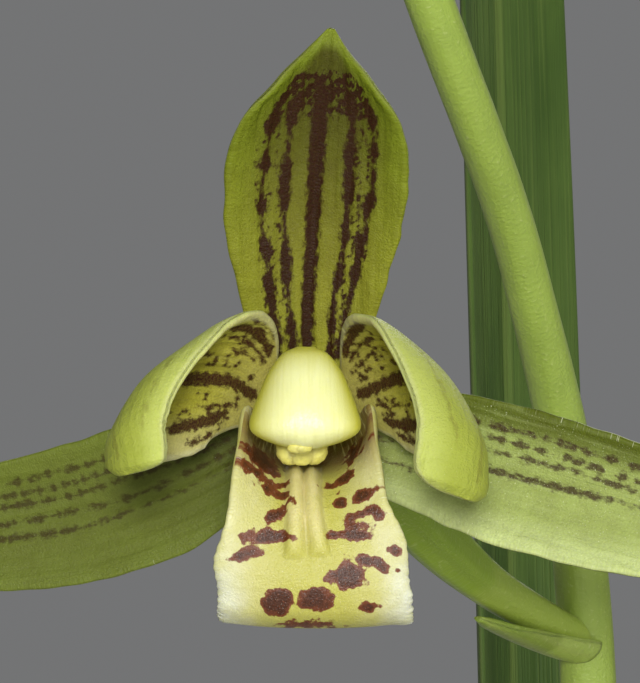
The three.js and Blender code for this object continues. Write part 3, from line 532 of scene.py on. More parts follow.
def section(half, curl, roll, out, shares):
    """One side of a blade's sections: the distance away from the spine, the rise and the turn at each
    share of the half-width. roll turns the margin further, and out is how far it reaches beyond 1."""
    spread = half[:, None] * shares * (1 + out[:, None] * smooth(shares, 0.8, 1))
    turn = curl[:, None] * shares + roll[:, None] * smooth(shares, 0.7, 1)
    step = np.diff(spread, axis=1)
    between = (turn[:, 1:] + turn[:, :-1]) / 2
    start = np.zeros((len(half), 1))
    away = np.concatenate([start, np.cumsum(step * np.cos(between), 1)], 1)
    rise = np.concatenate([start, np.cumsum(step * np.sin(between), 1)], 1)
    return spread, away, rise, turn


def end_cap(first, widths, start):
    """The faces over one end of a blade whose rings begin with corner number `first`."""
    k = np.arange(widths)
    under = 2 * widths + 4
    quads = [np.stack([k, k + 1, under - 1 - k, under - k], 1)]
    quads.append(np.array([[widths, widths + 1, widths + 3, widths + 4], [under, under + 1, under + 3, 0]]))
    quads = first + np.concatenate(quads)
    tris = first + np.array([[widths + 1, widths + 2, widths + 3], [under + 1, under + 2, under + 3]])
    return (quads[:, ::-1], tris[:, ::-1]) if start else (quads, tris)


def blade(build, stations, widths, thickness, edge, roll=None, frill=None, relief=None, mark=None,
          back_mark=None, mirrored=False, materials=(0, 1)):
    """A thin curved sheet with round margins. roll and frill are functions of u and the side, relief of
    u, v and the reach from the spine: it lifts the upper face. The marks are stains on the two faces."""
    u = stations["u"]
    rows = len(u)
    none = np.zeros(rows)
    ahead, across = stations["ahead"][:, None], stations["across"][:, None]
    inward = np.cross(ahead, across)
    shares = np.linspace(0, 1, widths // 2 + 1)
    sides = []
    for side, sign in ((0, -1), (1, 1)):
        half, curl = stations["sides"][side]
        spread, away, rise, turn = section(
            half, curl, roll(u, sign) if roll else none, frill(u, sign) if frill else none, shares)
        away, rise, turn = away[..., None], rise[..., None], turn[..., None]
        middle = stations["point"][:, None] + sign * away * across + rise * inward
        normal = np.cos(turn) * inward - sign * np.sin(turn) * across
        sides.append((middle, normal, sign * spread, sign * np.broadcast_to(shares, spread.shape)))
    middle, normal, reach, v = (np.concatenate([low[:, :0:-1], high], 1) for low, high in zip(*sides))
    u_grid = np.broadcast_to(u[:, None], v.shape)
    slim = 1 - 0.6 * smooth(u, 0.92, 1)[:, None]
    thick = slim * (edge + (thickness - edge) * np.sqrt(1 - v**4)) / 2
    lift = relief(u_grid, v, reach) if relief else np.zeros_like(v)
    upper = middle + (thick + lift)[..., None] * normal
    lower = middle - thick[..., None] * normal
    rims = []
    for end, sign, angles in ((-1, 1, (45, 90, 135)), (0, -1, (135, 90, 45))):
        out = sign * np.cross(normal[:, end], stations["ahead"])
        rims.append(np.stack([
            middle[:, end] + slim * edge / 2 * (math.cos(a) * normal[:, end] + math.sin(a) * out)
            for a in np.radians(angles)
        ], 1))
    rings = np.concatenate([upper, rims[0], lower[:, ::-1], rims[1]], 1)
    rings = rings * np.array([-1 if mirrored else 1, 1, 1])

    def ring_of(over, under):
        return np.concatenate([over, over[:, [-1] * 3], under[:, ::-1], over[:, [0] * 3]], 1)

    length = np.concatenate([[0], np.cumsum(np.linalg.norm(np.diff(stations["point"], axis=0), axis=1))])
    ones = np.ones_like(v)
    length = length[:, None] * ones
    face = ring_of(ones, -ones)
    place = np.stack([ring_of(reach, reach), ring_of(length, length), face], -1)
    share = np.stack([ring_of(u_grid, u_grid), ring_of(v, v), face], -1)
    stain = ring_of(
        mark(u_grid, v, reach, upper) if mark else -ones,
        back_mark(u_grid, v, reach, lower) if back_mark else -ones,
    )
    columns = rings.shape[1]
    quads = grid_faces(rows, columns)
    column = np.tile(np.arange(columns), rows - 1)
    over = (column < widths + 2) | (column >= 2 * widths + 6)
    start, end = end_cap(0, widths, True), end_cap((rows - 1) * columns, widths, False)
    faces = [quads[over], quads[~over], *start, *end]
    top, under = materials
    build.add(rings, faces, [top, under, top, top, top, top], place, share, stain)


def srgb(red, green, blue):
    """A colour by its display values from 0 to 255."""
    shares = [value / 255 for value in (red, green, blue)]
    light = [s / 12.92 if s <= 0.04045 else ((s + 0.055) / 1.055) ** 2.4 for s in shares]
    return (*light, 1)


LIP_YELLOW = srgb(192, 188, 92)
LIP_CREAM = srgb(212, 208, 146)
LIP_WHITE = srgb(224, 226, 202)
LIP_DEEP = srgb(190, 187, 78)
# The lip's olive-brown base under the column: partly its own tint, partly painted shade under the anther cap.
LIP_THROAT_TINT_AND_SHADE = srgb(132, 102, 62)
LIP_KEEL = srgb(222, 212, 150)
LIP_STAIN = srgb(74, 38, 18)
LIP_STAIN_EDGE = srgb(118, 62, 32)
# The cap's two colours are partly its own pale and deeper yellows and partly painted light: the first, for
# its front, is painted paler and brighter and the second, for its sides and top, darker.
CAP_PALE_AND_LIT = srgb(240, 241, 176)
CAP_YELLOW_AND_SHADED = srgb(204, 200, 74)


class Surface:
    """A material, with short ways to add its nodes. A value is a number, a colour or the socket of
    another node."""

    def __init__(self, name, **inputs):
        self.material = bpy.data.materials.new(name)
        self.material.use_nodes = True
        self.tree = self.material.node_tree
        self.shader = self.tree.nodes["Principled BSDF"]
        sockets = {socket.name.lower().replace(" ", "_"): socket for socket in self.shader.inputs}
        for key, value in inputs.items():
            sockets[key].default_value = value

    def feed(self, socket, value):
        if isinstance(value, bpy.types.NodeSocket):
            self.tree.links.new(value, socket)
        else:
            socket.default_value = value

    def node(self, kind, inputs, **settings):
        node = self.tree.nodes.new("ShaderNode" + kind)
        for key, value in settings.items():
            setattr(node, key, value)
        for key, value in inputs.items():
            self.feed(node.inputs[key], value)
        return node

    def attribute(self, name):
        node = self.node("Attribute", {}, attribute_name=name)
        return node.outputs["Fac" if name == "mark" else "Vector"]

    def parts(self, vector):
        node = self.node("SeparateXYZ", {0: vector})
        return node.outputs[0], node.outputs[1], node.outputs[2]

    def math(self, operation, *values):
        return self.node("Math", dict(enumerate(values)), operation=operation).outputs[0]

    def stretched(self, vector, *factors):
        return self.node("VectorMath", {0: vector, 1: factors}, operation="MULTIPLY").outputs[0]

    def noise(self, vector, scale, detail=3, roughness=0.55):
        inputs = {"Vector": vector, "Scale": scale, "Detail": detail, "Roughness": roughness}
        return self.node("TexNoise", inputs).outputs[0]

    def step(self, value, low, high):
        """0 where value is under low, 1 where it is over high and a smooth step between."""
        inputs = {"Value": value, "From Min": low, "From Max": high}
        return self.node("MapRange", inputs, interpolation_type="SMOOTHSTEP").outputs[0]

    def mix(self, factor, first, second):
        return self.node("Mix", {0: factor, 6: first, 7: second}, data_type="RGBA").outputs[2]

    def over(self, ground, colour, where, strength):
        """The ground with a colour laid over it where `where` is 1, as fully as strength says."""
        return self.mix(self.math("MULTIPLY", where, strength), ground, colour)

    def colour(self, value):
        self.feed(self.shader.inputs["Base Color"], value)

    def roughness(self, value):
        self.feed(self.shader.inputs["Roughness"], value)

    def bump(self, *heights):
        """Bumps one over another, each a height from 0 to 1 and its depth in millimetres."""
        normal = None
        for height, depth in heights:
            inputs = {"Height": height, "Distance": depth * MM}
            if normal is not None:
                inputs["Normal"] = normal
            normal = self.node("Bump", inputs).outputs[0]
        self.feed(self.shader.inputs["Normal"], normal)


def tepal_surface(name, low, middle, high, base, stain, strength=1.0, painted_sparkle=0.3, reach=0.3, tip=None,
                  rim=0.0):
    """A sepal's or petal's face: the colours of its low margin, its middle, its high margin, its base (which
    reaches up to the share reach) and its tip, with mottling, vein lines, stains as dark as strength says,
    random pale specks of painted highlight as bright as sparkle says and a pale rim."""
    surface = Surface(
        name, subsurface_weight=0.3, subsurface_radius=(0.9, 1.0, 0.3), subsurface_scale=0.0007,
        specular_ior_level=0.12,
    )
    place = surface.attribute("place")
    u, v, _ = surface.parts(surface.attribute("share"))
    mottle = surface.noise(place, 0.9)
    grain = surface.noise(place, 9, 4)
    veins = surface.noise(surface.stretched(place, 4.5, 0.18, 1), 1, 2)
    ground = surface.mix(surface.step(v, 0.4, 0.97), middle, high)
    ground = surface.mix(surface.step(v, -0.4, -0.97), ground, low)
    ground = surface.mix(surface.step(u, reach, 0.02), ground, base)
    if tip is not None:
        ground = surface.mix(surface.step(u, 0.92, 0.97), ground, tip)
    light = surface.math("MULTIPLY_ADD", mottle, 0.45, surface.math("MULTIPLY", grain, 0.5))
    ground = surface.mix(surface.step(light, 0.3, 0.66), surface.mix(0.28 * strength, ground, stain), ground)
    ground = surface.over(ground, low, surface.step(veins, 0.52, 0.7), 0.12)
    flecks = surface.noise(surface.stretched(place, 5, 2.6, 1), 1, 3, 0.6)
    ragged = surface.math("MULTIPLY_ADD", flecks, 0.6, -0.3)
    inside = surface.step(surface.math("ADD", surface.attribute("mark"), ragged), -0.12, 0.1)
    deep = surface.mix(surface.step(grain, 0.35, 0.7), stain, surface.mix(0.15, stain, middle))
    ground = surface.over(ground, deep, inside, strength)
    if rim:
        edge = surface.step(surface.math("ABSOLUTE", v), 0.91, 0.99)
        ground = surface.over(ground, srgb(222, 220, 176), edge, rim)
    # Painted highlights: random pale specks laid into the colour, standing in for light caught by the fine
    # cells.
    painted_glint = surface.step(surface.noise(place, 14, 2), 0.74 - 0.16 * painted_sparkle, 0.8)
    surface.colour(surface.over(ground, srgb(235, 240, 200), painted_glint, painted_sparkle))
    surface.roughness(surface.math("MULTIPLY_ADD", grain, 0.3, 0.32))
    surface.bump((veins, 0.05), (surface.noise(place, 3, 2), 0.06), (surface.noise(place, 12, 2), 0.035))
    return surface.material


def lip_surface():
    surface = Surface(
        "lip", subsurface_weight=0.4, subsurface_radius=(1.0, 0.9, 0.4), subsurface_scale=0.0009,
        specular_ior_level=0.45,
    )
    place = surface.attribute("place")
    u, v, _ = surface.parts(surface.attribute("share"))
    grain = surface.noise(place, 10, 4)
    away = surface.math("ABSOLUTE", v)
    ground = surface.mix(surface.step(away, 0.25, 0.95), LIP_YELLOW, LIP_CREAM)
    low = surface.math("MULTIPLY", surface.step(u, 0.45, 0.75), surface.step(away, 0.6, 0.98))
    ground = surface.over(ground, LIP_WHITE, low, 0.9)
    across, _, _ = surface.parts(place)
    beside = surface.math("ABSOLUTE", surface.math("SUBTRACT", across, KEEL_SEAM))
    keels = surface.math("MULTIPLY", surface.step(beside, 1.1, 0.55), surface.step(u, 0.6, 0.44))
    ground = surface.mix(keels, ground, LIP_KEEL)
    # The lip's base turns olive-brown: partly its own tint, partly painted shade where the cap and column
    # shade it.
    throat_and_shade = surface.math("SUBTRACT", u, surface.math("MULTIPLY", away, 0.14))
    ground = surface.mix(surface.step(throat_and_shade, 0.28, 0.14), ground, LIP_THROAT_TINT_AND_SHADE)
    mottle = surface.step(surface.noise(place, 1.3), 0.35, 0.7)
    ground = surface.over(ground, LIP_DEEP, mottle, 0.35)
    lobes = surface.math("MULTIPLY", surface.step(u, 0.3, 0.2), surface.step(away, 0.3, 0.5))
    lines = surface.noise(surface.stretched(place, 6, 0.4, 1), 1, 2)
    ground = surface.over(ground, LIP_CREAM, surface.step(lines, 0.5, 0.62), lobes)
    ragged = surface.math("MULTIPLY_ADD", surface.noise(place, 1.9, 3, 0.5), 0.7, -0.31)
    depth = surface.math("ADD", surface.attribute("mark"), ragged)
    stain = surface.mix(surface.step(depth, 0.02, 0.22), LIP_STAIN_EDGE, LIP_STAIN)
    stain = surface.mix(surface.step(grain, 0.5, 0.75), stain, LIP_STAIN_EDGE)
    ground = surface.mix(surface.step(depth, -0.03, 0.03), ground, stain)
    # Painted highlights: random pale specks laid into the lip's colour.
    painted_glint = surface.step(surface.noise(place, 15, 1), 0.66, 0.76)
    surface.colour(surface.over(ground, srgb(255, 255, 246), painted_glint, 0.3))
    surface.roughness(surface.math("MULTIPLY_ADD", grain, 0.25, 0.28))
    surface.bump((surface.noise(place, 2.5), 0.06), (surface.noise(place, 11, 2), 0.045))
    return surface.material


def lip_back_surface():
    surface = Surface("lip_back", subsurface_weight=0.4, subsurface_radius=(1.0, 0.9, 0.4),
                      subsurface_scale=0.0009)
    place = surface.attribute("place")
    grain = surface.noise(place, 8, 4)
    ground = surface.mix(surface.step(surface.noise(place, 1.1), 0.35, 0.7), LIP_CREAM, LIP_YELLOW)
    surface.colour(surface.over(ground, LIP_DEEP, grain, 0.4))
    surface.roughness(surface.math("MULTIPLY_ADD", grain, 0.25, 0.35))
    surface.bump((grain, 0.04))
    return surface.material


def cap_surface():
    surface = Surface(
        "anther_cap", subsurface_weight=0.5, subsurface_radius=(1.0, 0.95, 0.35), subsurface_scale=0.0012,
        specular_ior_level=0.5,
    )
    place = surface.attribute("place")
    u, front, _ = surface.parts(surface.attribute("share"))
    lines = surface.noise(surface.stretched(place, 5.5, 0.5, 1), 1, 2)
    # Partly painted light: the front-facing middle of the cap is painted paler and brighter, its sides and
    # top darker and yellower.
    ground = surface.mix(surface.step(front, 0.3, 1), CAP_YELLOW_AND_SHADED, CAP_PALE_AND_LIT)
    ground = surface.mix(surface.step(u, 0.3, 0.02), ground, CAP_YELLOW_AND_SHADED)
    ground = surface.over(ground, CAP_YELLOW_AND_SHADED, surface.step(lines, 0.4, 0.7), 0.15)
    surface.colour(ground)
    surface.roughness(surface.math("MULTIPLY_ADD", lines, 0.2, 0.26))
    surface.bump((lines, 0.015), (surface.noise(place, 10, 2), 0.02))
    return surface.material


def column_surface(name, ground, shade, freckles):
    surface = Surface(name, subsurface_weight=0.35, subsurface_radius=(1.0, 0.9, 0.35),
                      subsurface_scale=0.0009)
    place = surface.attribute("place")
    grain = surface.noise(place, 7, 4)
    colour = surface.mix(surface.step(surface.noise(place, 1.4), 0.35, 0.65), ground, shade)
    spots = surface.step(surface.noise(place, 4, 2), 0.58, 0.66)
    surface.colour(surface.over(colour, LIP_STAIN, spots, freckles))
    surface.roughness(surface.math("MULTIPLY_ADD", grain, 0.25, 0.25))
    surface.bump((grain, 0.03))
    return surface.material


def stem_surface(name, low, high, streak):
    """Stem skin: its colour goes from low to high along it, with fine pale dots and long streaks."""
    surface = Surface(name, subsurface_weight=0.2, subsurface_radius=(0.8, 1.0, 0.3),
                      subsurface_scale=0.0012)
    place = surface.attribute("place")
    u, _, _ = surface.parts(surface.attribute("share"))
    # On the scape the darker first colour, below the main bloom's node, is painted shade.
    colour = surface.mix(surface.step(u, 0.42, 0.475), low, high)
    lines = surface.noise(surface.stretched(place, 2.2, 0.12, 1), 1, 3)
    colour = surface.over(colour, streak, surface.step(lines, 0.4, 0.7), 0.3)
    patches = surface.noise(place, 0.35)
    colour = surface.over(colour, low, surface.step(patches, 0.4, 0.7), 0.12)
    dots = surface.step(surface.noise(place, 4.5, 2), 0.6, 0.72)
    surface.colour(surface.over(colour, srgb(205, 214, 140), dots, 0.3))
    surface.roughness(surface.math("MULTIPLY_ADD", patches, 0.25, 0.28))
    surface.bump((lines, 0.05), (surface.noise(place, 4.5, 2), 0.05))
    return surface.material


def leaf_surface(name, dark, light, rib):
    """A leaf's face: long fine veins, a pale midrib line and a brown dry tip."""
    surface = Surface(name, specular_ior_level=0.4, subsurface_weight=0.08,
                      subsurface_radius=(0.5, 1.0, 0.2), subsurface_scale=0.001)
    place = surface.attribute("place")
    u, v, _ = surface.parts(surface.attribute("share"))
    across, length, _ = surface.parts(place)
    fine = surface.noise(surface.stretched(place, 3.2, 0.02, 1), 1, 2)
    broad = surface.noise(surface.stretched(place, 0.5, 0.02, 1), 1, 3)
    mottle = surface.noise(surface.stretched(place, 0.12, 0.03, 1), 1, 4)
    colour = surface.mix(surface.step(mottle, 0.3, 0.7), dark, light)
    colour = surface.over(colour, light, surface.step(broad, 0.5, 0.75), 0.45)
    colour = surface.over(colour, rib, surface.step(fine, 0.52, 0.66), 0.3)
    middle = surface.step(surface.math("ABSOLUTE", across), 0.7, 0.15)
    colour = surface.over(colour, rib, middle, 0.55)
    colour = surface.mix(surface.step(u, 0.14, 0.02), colour, rib)
    end = surface.math("MULTIPLY_ADD", mottle, 0.03, u)
    colour = surface.mix(surface.step(end, 0.985, 1.0), colour, srgb(156, 132, 62))
    surface.colour(surface.mix(surface.step(end, 0.998, 1.008), colour, srgb(96, 66, 38)))
    surface.roughness(surface.math("MULTIPLY_ADD", broad, 0.25, 0.3))
    surface.bump((fine, 0.16), (broad, 0.3))
    return surface.material


def husk_surface(name, pale, brown, green):
    """A dry sheath: straw to brown, with long fibres and stains, greener where it is fresh."""
    surface = Surface(name, specular_ior_level=0.3)
    place = surface.attribute("place")
    u, _, _ = surface.parts(surface.attribute("share"))
    fibres = surface.noise(surface.stretched(place, 2.6, 0.07, 1), 1, 4, 0.7)
    patches = surface.noise(place, 0.22, 4)
    colour = surface.mix(surface.step(patches, 0.35, 0.65), pale, brown)
    colour = surface.mix(surface.step(u, 0.75, 0.2), colour, green)
    surface.colour(surface.mix(surface.step(fibres, 0.45, 0.7), colour, brown))
    surface.roughness(surface.math("MULTIPLY_ADD", fibres, 0.3, 0.5))
    surface.bump((fibres, 0.25))
    return surface.material


def bulb_surface():
    surface = Surface("pseudobulb", specular_ior_level=0.45)
    place = surface.attribute("place")
    u, _, _ = surface.parts(surface.attribute("share"))
    lines = surface.noise(surface.stretched(place, 0.9, 0.06, 1), 1, 4)
    blotches = surface.noise(place, 0.16, 4)
    colour = surface.mix(surface.step(blotches, 0.35, 0.65), srgb(116, 132, 62), srgb(148, 158, 84))
    colour = surface.mix(surface.step(u, 0.5, 0.2), colour, srgb(122, 98, 56))
    surface.colour(surface.mix(surface.step(lines, 0.55, 0.75), colour, srgb(90, 100, 48)))
    surface.roughness(surface.math("MULTIPLY_ADD", lines, 0.3, 0.28))
    surface.bump((lines, 0.5), (surface.noise(place, 1.6), 0.1))
    return surface.material


def clay_surface():
    """Fired clay: fine sand, faint turning lines, and the white bloom that water leaves low on a pot."""
    surface = Surface("terracotta", specular_ior_level=0.25)
    where = surface.node("TexCoord", {}).outputs["Object"]
    _, _, height = surface.parts(where)
    sand = surface.noise(where, 1800, 4, 0.7)
    clouds = surface.noise(where, 22, 5, 0.6)
    rings = surface.noise(surface.stretched(where, 4, 4, 420), 1, 3)
    colour = surface.mix(surface.step(clouds, 0.35, 0.68), srgb(168, 92, 58), srgb(196, 118, 78))
    colour = surface.over(colour, srgb(150, 78, 48), surface.step(rings, 0.45, 0.7), 0.25)
    colour = surface.over(colour, srgb(214, 148, 108), surface.step(sand, 0.5, 0.72), 0.35)
    salt = surface.math("SUBTRACT", surface.noise(where, 55, 6, 0.7), surface.math("MULTIPLY", height, 2.4))
    colour = surface.over(colour, srgb(226, 200, 176), surface.step(salt, 0.42, 0.62), 0.4)
    surface.colour(colour)
    surface.roughness(surface.math("MULTIPLY_ADD", sand, 0.2, 0.72))
    surface.bump((rings, 0.25), (sand, 0.16), (clouds, 0.4))
    return surface.material


def bark_surface():
    surface = Surface("bark", specular_ior_level=0.2)
    place = surface.attribute("place")
    tone, _, _ = surface.parts(surface.attribute("share"))
    layers = surface.noise(surface.stretched(place, 0.25, 0.6, 2.4), 1, 4, 0.7)
    grain = surface.noise(place, 2.2, 5, 0.7)
    colour = surface.mix(tone, srgb(66, 44, 32), srgb(138, 94, 62))
    colour = surface.mix(surface.step(layers, 0.4, 0.62), colour, srgb(96, 60, 40))
    surface.colour(surface.mix(surface.step(grain, 0.5, 0.75), colour, srgb(160, 122, 88)))
    surface.roughness(surface.math("MULTIPLY_ADD", grain, 0.2, 0.75))
    surface.bump((layers, 0.7), (grain, 0.3))
    return surface.material


def floor_surface():
    surface = Surface("floor", roughness=0.6, specular_ior_level=0.2)
    where = surface.node("TexCoord", {}).outputs["Object"]
    mottle = surface.noise(where, 6, 3)
    surface.colour(surface.mix(mottle, srgb(190, 189, 186), srgb(198, 197, 194)))
    return surface.material


def stripe_marks(stripes, seed, pace=9, width=1.0):
    """Stains in stripes along a blade, as a mark for it."""
    def mark(u, v, reach, points):
        half = np.abs(reach).max(1, keepdims=True)
        depth = np.full(u.shape, -1.0)
        for i, (at, breadth, start, end, breaking) in enumerate(stripes):
            span = smooth(u, start - 0.02, start + 0.05) * (1 - smooth(u, end - 0.1, end))
            gaps = breaking * np.clip(0.5 + 0.9 * ripples(seed + i, pace * u), 0, 1.5)
            inside = width * breadth * (0.7 + 0.5 * u) * (span - gaps) - 0.4 * (1 - span)
            offset = reach - at * half - 0.1 * ripples(seed + 50 + i, 2 * u)
            depth = np.maximum(depth, inside - np.abs(offset))
        return depth
    return mark


def spot_marks(seed, count, area, sizes):
    """Round stains scattered over part of a blade: area is the u and v that they keep to."""
    def mark(u, v, reach, points):
        draw = random.Random(seed)
        depth = np.full(u.shape, -1.0)
        for _ in range(count):
            row = int(draw.uniform(area[0], area[1]) * (u.shape[0] - 1))
            column = int((draw.uniform(area[2], area[3]) + 1) / 2 * (u.shape[1] - 1))
            away = np.linalg.norm(points - points[row, column], axis=-1)
            depth = np.maximum(depth, draw.uniform(*sizes) - away)
        return depth
    return mark


def petal_spots(seed):
    return together(
        spot_marks(seed, 34, (0.08, 0.34, 0.1, 0.8), (0.02, 0.16)),
        spot_marks(seed + 1, 40, (0.08, 0.4, -0.85, -0.25), (0.02, 0.15)),
    )


def together(*marks):
    return lambda *where: np.maximum.reduce([mark(*where) for mark in marks])


def dorsal_cloud(u, v, reach, points):
    """The dark mottled end of the dorsal sepal."""
    region = smooth(u, 0.66, 0.78) * (1 - smooth(u, 0.83, 0.89)) * (1 - smooth(np.abs(v), 0.6, 0.8))
    return region * (0.12 + 0.45 * ripples(5, 3 * reach, 30 * u)) - 0.35 * (1 - region)


def dorsal_specks(u, v, reach, points):
    """Short dashes in rows on both sides of the dorsal sepal's middle stripe."""
    region = smooth(np.abs(v), 0.22, 0.34) * (1 - smooth(np.abs(v), 0.68, 0.8))
    region = region * smooth(u, 0.1, 0.24) * (1 - smooth(u, 0.68, 0.8))
    rows = ripples(61, 5.5 * reach, 2 * u) + 0.9 * ripples(67, 2.2 * reach, 34 * u)
    return 0.16 * region * (rows - 0.75) - 0.4 * (1 - region)


def lip_stains(u, v, reach, points):
    """Stains laid out as seen from the front, on the plane z = LIP_PLANE."""
    nearer = (VIEW_FROM[2] - LIP_PLANE) / (VIEW_FROM[2] - points[..., 2])
    x = VIEW_FROM[0] + (points[..., 0] - VIEW_FROM[0]) * nearer
    y = VIEW_FROM[1] + (points[..., 1] - VIEW_FROM[1]) * nearer
    depth = np.full(u.shape, -1.0)
    for middle_x, middle_y, long, short, slant in LIP_STAINS:
        cos, sin = math.cos(math.radians(slant)), math.sin(math.radians(slant))
        over = (x - middle_x) * cos + (y - middle_y) * sin
        up = (y - middle_y) * cos - (x - middle_x) * sin
        depth = np.maximum(depth, short * (1 - np.hypot(over / long, up / short)))
    return depth


def lip_relief(u, v, reach):
    """Two broad rounded keels side by side along the middle of the lip: they part at their lower ends."""
    parting = smooth(u, 0.46, 0.58)
    low = smooth(u, 0.16, 0.3) * np.sqrt(1 - np.clip((u - 0.47) / 0.115, 0, 1) ** 2)
    swell = 0
    for offset, parted in KEEL_SIDES:
        beside = (reach - KEEL_SEAM - offset - parted * parting) / KEEL_HALF
        swell = swell + np.sqrt(np.clip(1 - beside**2, 0, 1))
    return KEEL_HEIGHT * low * swell


def bloom_matrix(bloom):
    turn = Matrix.Rotation(math.radians(bloom["heading"]), 4, "Z")
    tip = Matrix.Rotation(math.pi / 2 + math.radians(bloom["nod"]), 4, "X")
    return Matrix.Translation(bloom["at"]) @ turn @ tip


def tepal_blade(build, form, steps, widths, seed, **looks):
    """A sepal or petal: its margins wave a little, and its face swells between the veins."""
    def wave(u, sign):
        hood = form.get("hood", 0) * smooth(u, 0.7, 0.85) * (1 - smooth(u, 0.93, 1))
        return 0.12 * ripples(seed + sign, 3 * u) * smooth(u, 0.05, 0.3) + hood

    def edge(u, sign):
        return 0.015 * ripples(seed + 4 + sign, 8 * u)

    def swell(u, v, reach):
        folds = 0.05 * ripples(seed + 9, 1.5 * reach, 2 * u) * smooth(u, 0.02, 0.15)
        return folds - 0.12 * np.exp(-((reach / 0.3) ** 2)) * (1 - smooth(u, 0.5, 0.9))

    stations = blade_stations(form, steps)
    blade(build, stations, widths, TEPAL_THICKNESS, TEPAL_EDGE, roll=wave, frill=edge, relief=swell,
          mirrored=form.get("mirrored", False), **looks)


def lip_blade(build, steps, widths):
    def frill(u, sign):
        teeth = np.abs(ripples(21 + sign, 26 * u)) * smooth(u, 0.6, 0.8) * (1 - smooth(u, 0.97, 1))
        return 0.01 * ripples(31 + sign, 14 * u) * smooth(u, 0.35, 0.5) + 0.022 * teeth

    def roll(u, sign):
        return 0.3 * ripples(41 + sign, 4 * u) * smooth(u, 0.35, 0.6)

    blade(build, blade_stations(LIP, steps), widths, TEPAL_THICKNESS, TEPAL_EDGE, roll=roll, frill=frill,
          relief=lip_relief, mark=lip_stains)


def cap_body(build, rows, columns, material=0):
    """The anther cap: a helmet with a groove down the lower half of its front, between two lobes."""
    u, angle = round_grid(np.linspace(0, 1, rows), columns, -math.pi)
    y, z, half, before, behind = along(CAP_SECTIONS, u[:, 0]).T[:, :, None]
    groove = np.exp(-((angle / 0.22) ** 2)) * smooth(u, 0.35, 0.7)
    depth = np.where(np.cos(angle) > 0, before, behind) * (1 - 0.08 * groove)
    rings = np.stack([CAP_MIDDLE - half * np.sin(angle), y - 0.1 * groove, z + depth * np.cos(angle)], -1)
    place = np.stack([angle * half, u * CAP_SPAN, u * 0], -1)
    share = np.stack([u, np.cos(angle), np.sin(angle)], -1)
    loft(build, rings, place, share, material=material)


def lump(build, centre, size, seed, material):
    """A small swelling, a little uneven."""
    rise, angle = round_grid(np.linspace(-math.pi / 2, math.pi / 2, 20), 24)
    x, y, z = np.cos(rise) * np.cos(angle), np.sin(rise), np.cos(rise) * np.sin(angle)
    swell = 1 + 0.06 * ripples(seed, x, y, z)
    rings = np.stack([x * swell, y * swell, z * swell], -1) * np.array(size) + np.array(centre)
    loft(build, rings, rings, np.stack([(y + 1) / 2, x, z], -1), material=material)


def column_bodies(build, sides, steps, material=0):
    """The column, the two-lobed body below the anther cap and the beak over it."""
    rod(build, COLUMN_PATH, COLUMN_RADII, sides, steps, material=material)
    rod(build, CHIN_PATH, CHIN_RADII, sides, steps, material=material, scale=(CHIN_BREADTH, 1, 1))
    for seed, (centre, size) in enumerate(CHIN_LUMPS):
        lump(build, centre, size, 80 + seed, material)


def main_bloom(looks):
    """The bloom of the photo. A tepal is its form, rows and columns, seed, marks and look."""
    matrix = bloom_matrix(MAIN_BLOOM)
    parts = {
        "dorsal_sepal": (DORSAL_SEPAL, 160, 60, 1, {
            "mark": together(stripe_marks(DORSAL_STRIPES, 1), dorsal_cloud, dorsal_specks)}, "dorsal"),
        "lateral_sepal_right": (LATERAL_RIGHT, 140, 44, 2, {
            "mark": stripe_marks(LATERAL_RIGHT_STRIPES, 11, 30)}, "lateral_right"),
        "lateral_sepal_left": (LATERAL_LEFT, 140, 44, 3, {
            "mark": stripe_marks(LATERAL_LEFT_STRIPES, 21, 30)}, "lateral_left"),
        "petal_right": (PETAL_RIGHT, 130, 64, 4, {
            "mark": together(stripe_marks(PETAL_STRIPES, 31), petal_spots(33)),
            "back_mark": stripe_marks(PETAL_BACK_STRIPES, 35)}, "petal"),
        "petal_left": (PETAL_LEFT, 130, 64, 5, {
            "mark": together(stripe_marks(PETAL_STRIPES, 41), petal_spots(43)),
            "back_mark": stripe_marks(PETAL_BACK_STRIPES, 45)}, "petal"),
    }
    for node, (form, steps, widths, seed, marks, face) in parts.items():
        build = Build(matrix)
        tepal_blade(build, form, steps, widths, seed, **marks)
        back = "lateral_back" if face.startswith("lateral") else face + "_back"
        build.piece("fine_" + node, "tepal", [looks[face], looks[back]], [node])

    build = Build(matrix)
    lip_blade(build, 150, 104)
    build.piece("fine_lip", "lip", [looks["lip"], looks["lip_back"]], ["lip"])
    build = Build(matrix)
    column_bodies(build, 48, 40)
    build.piece("fine_column", "column", [looks["column"]], ["column"])
    build = Build(matrix)
    cap_body(build, 60, 96)
    build.piece("fine_anther_cap", "anther_cap", [looks["cap"]], ["anther_cap"])


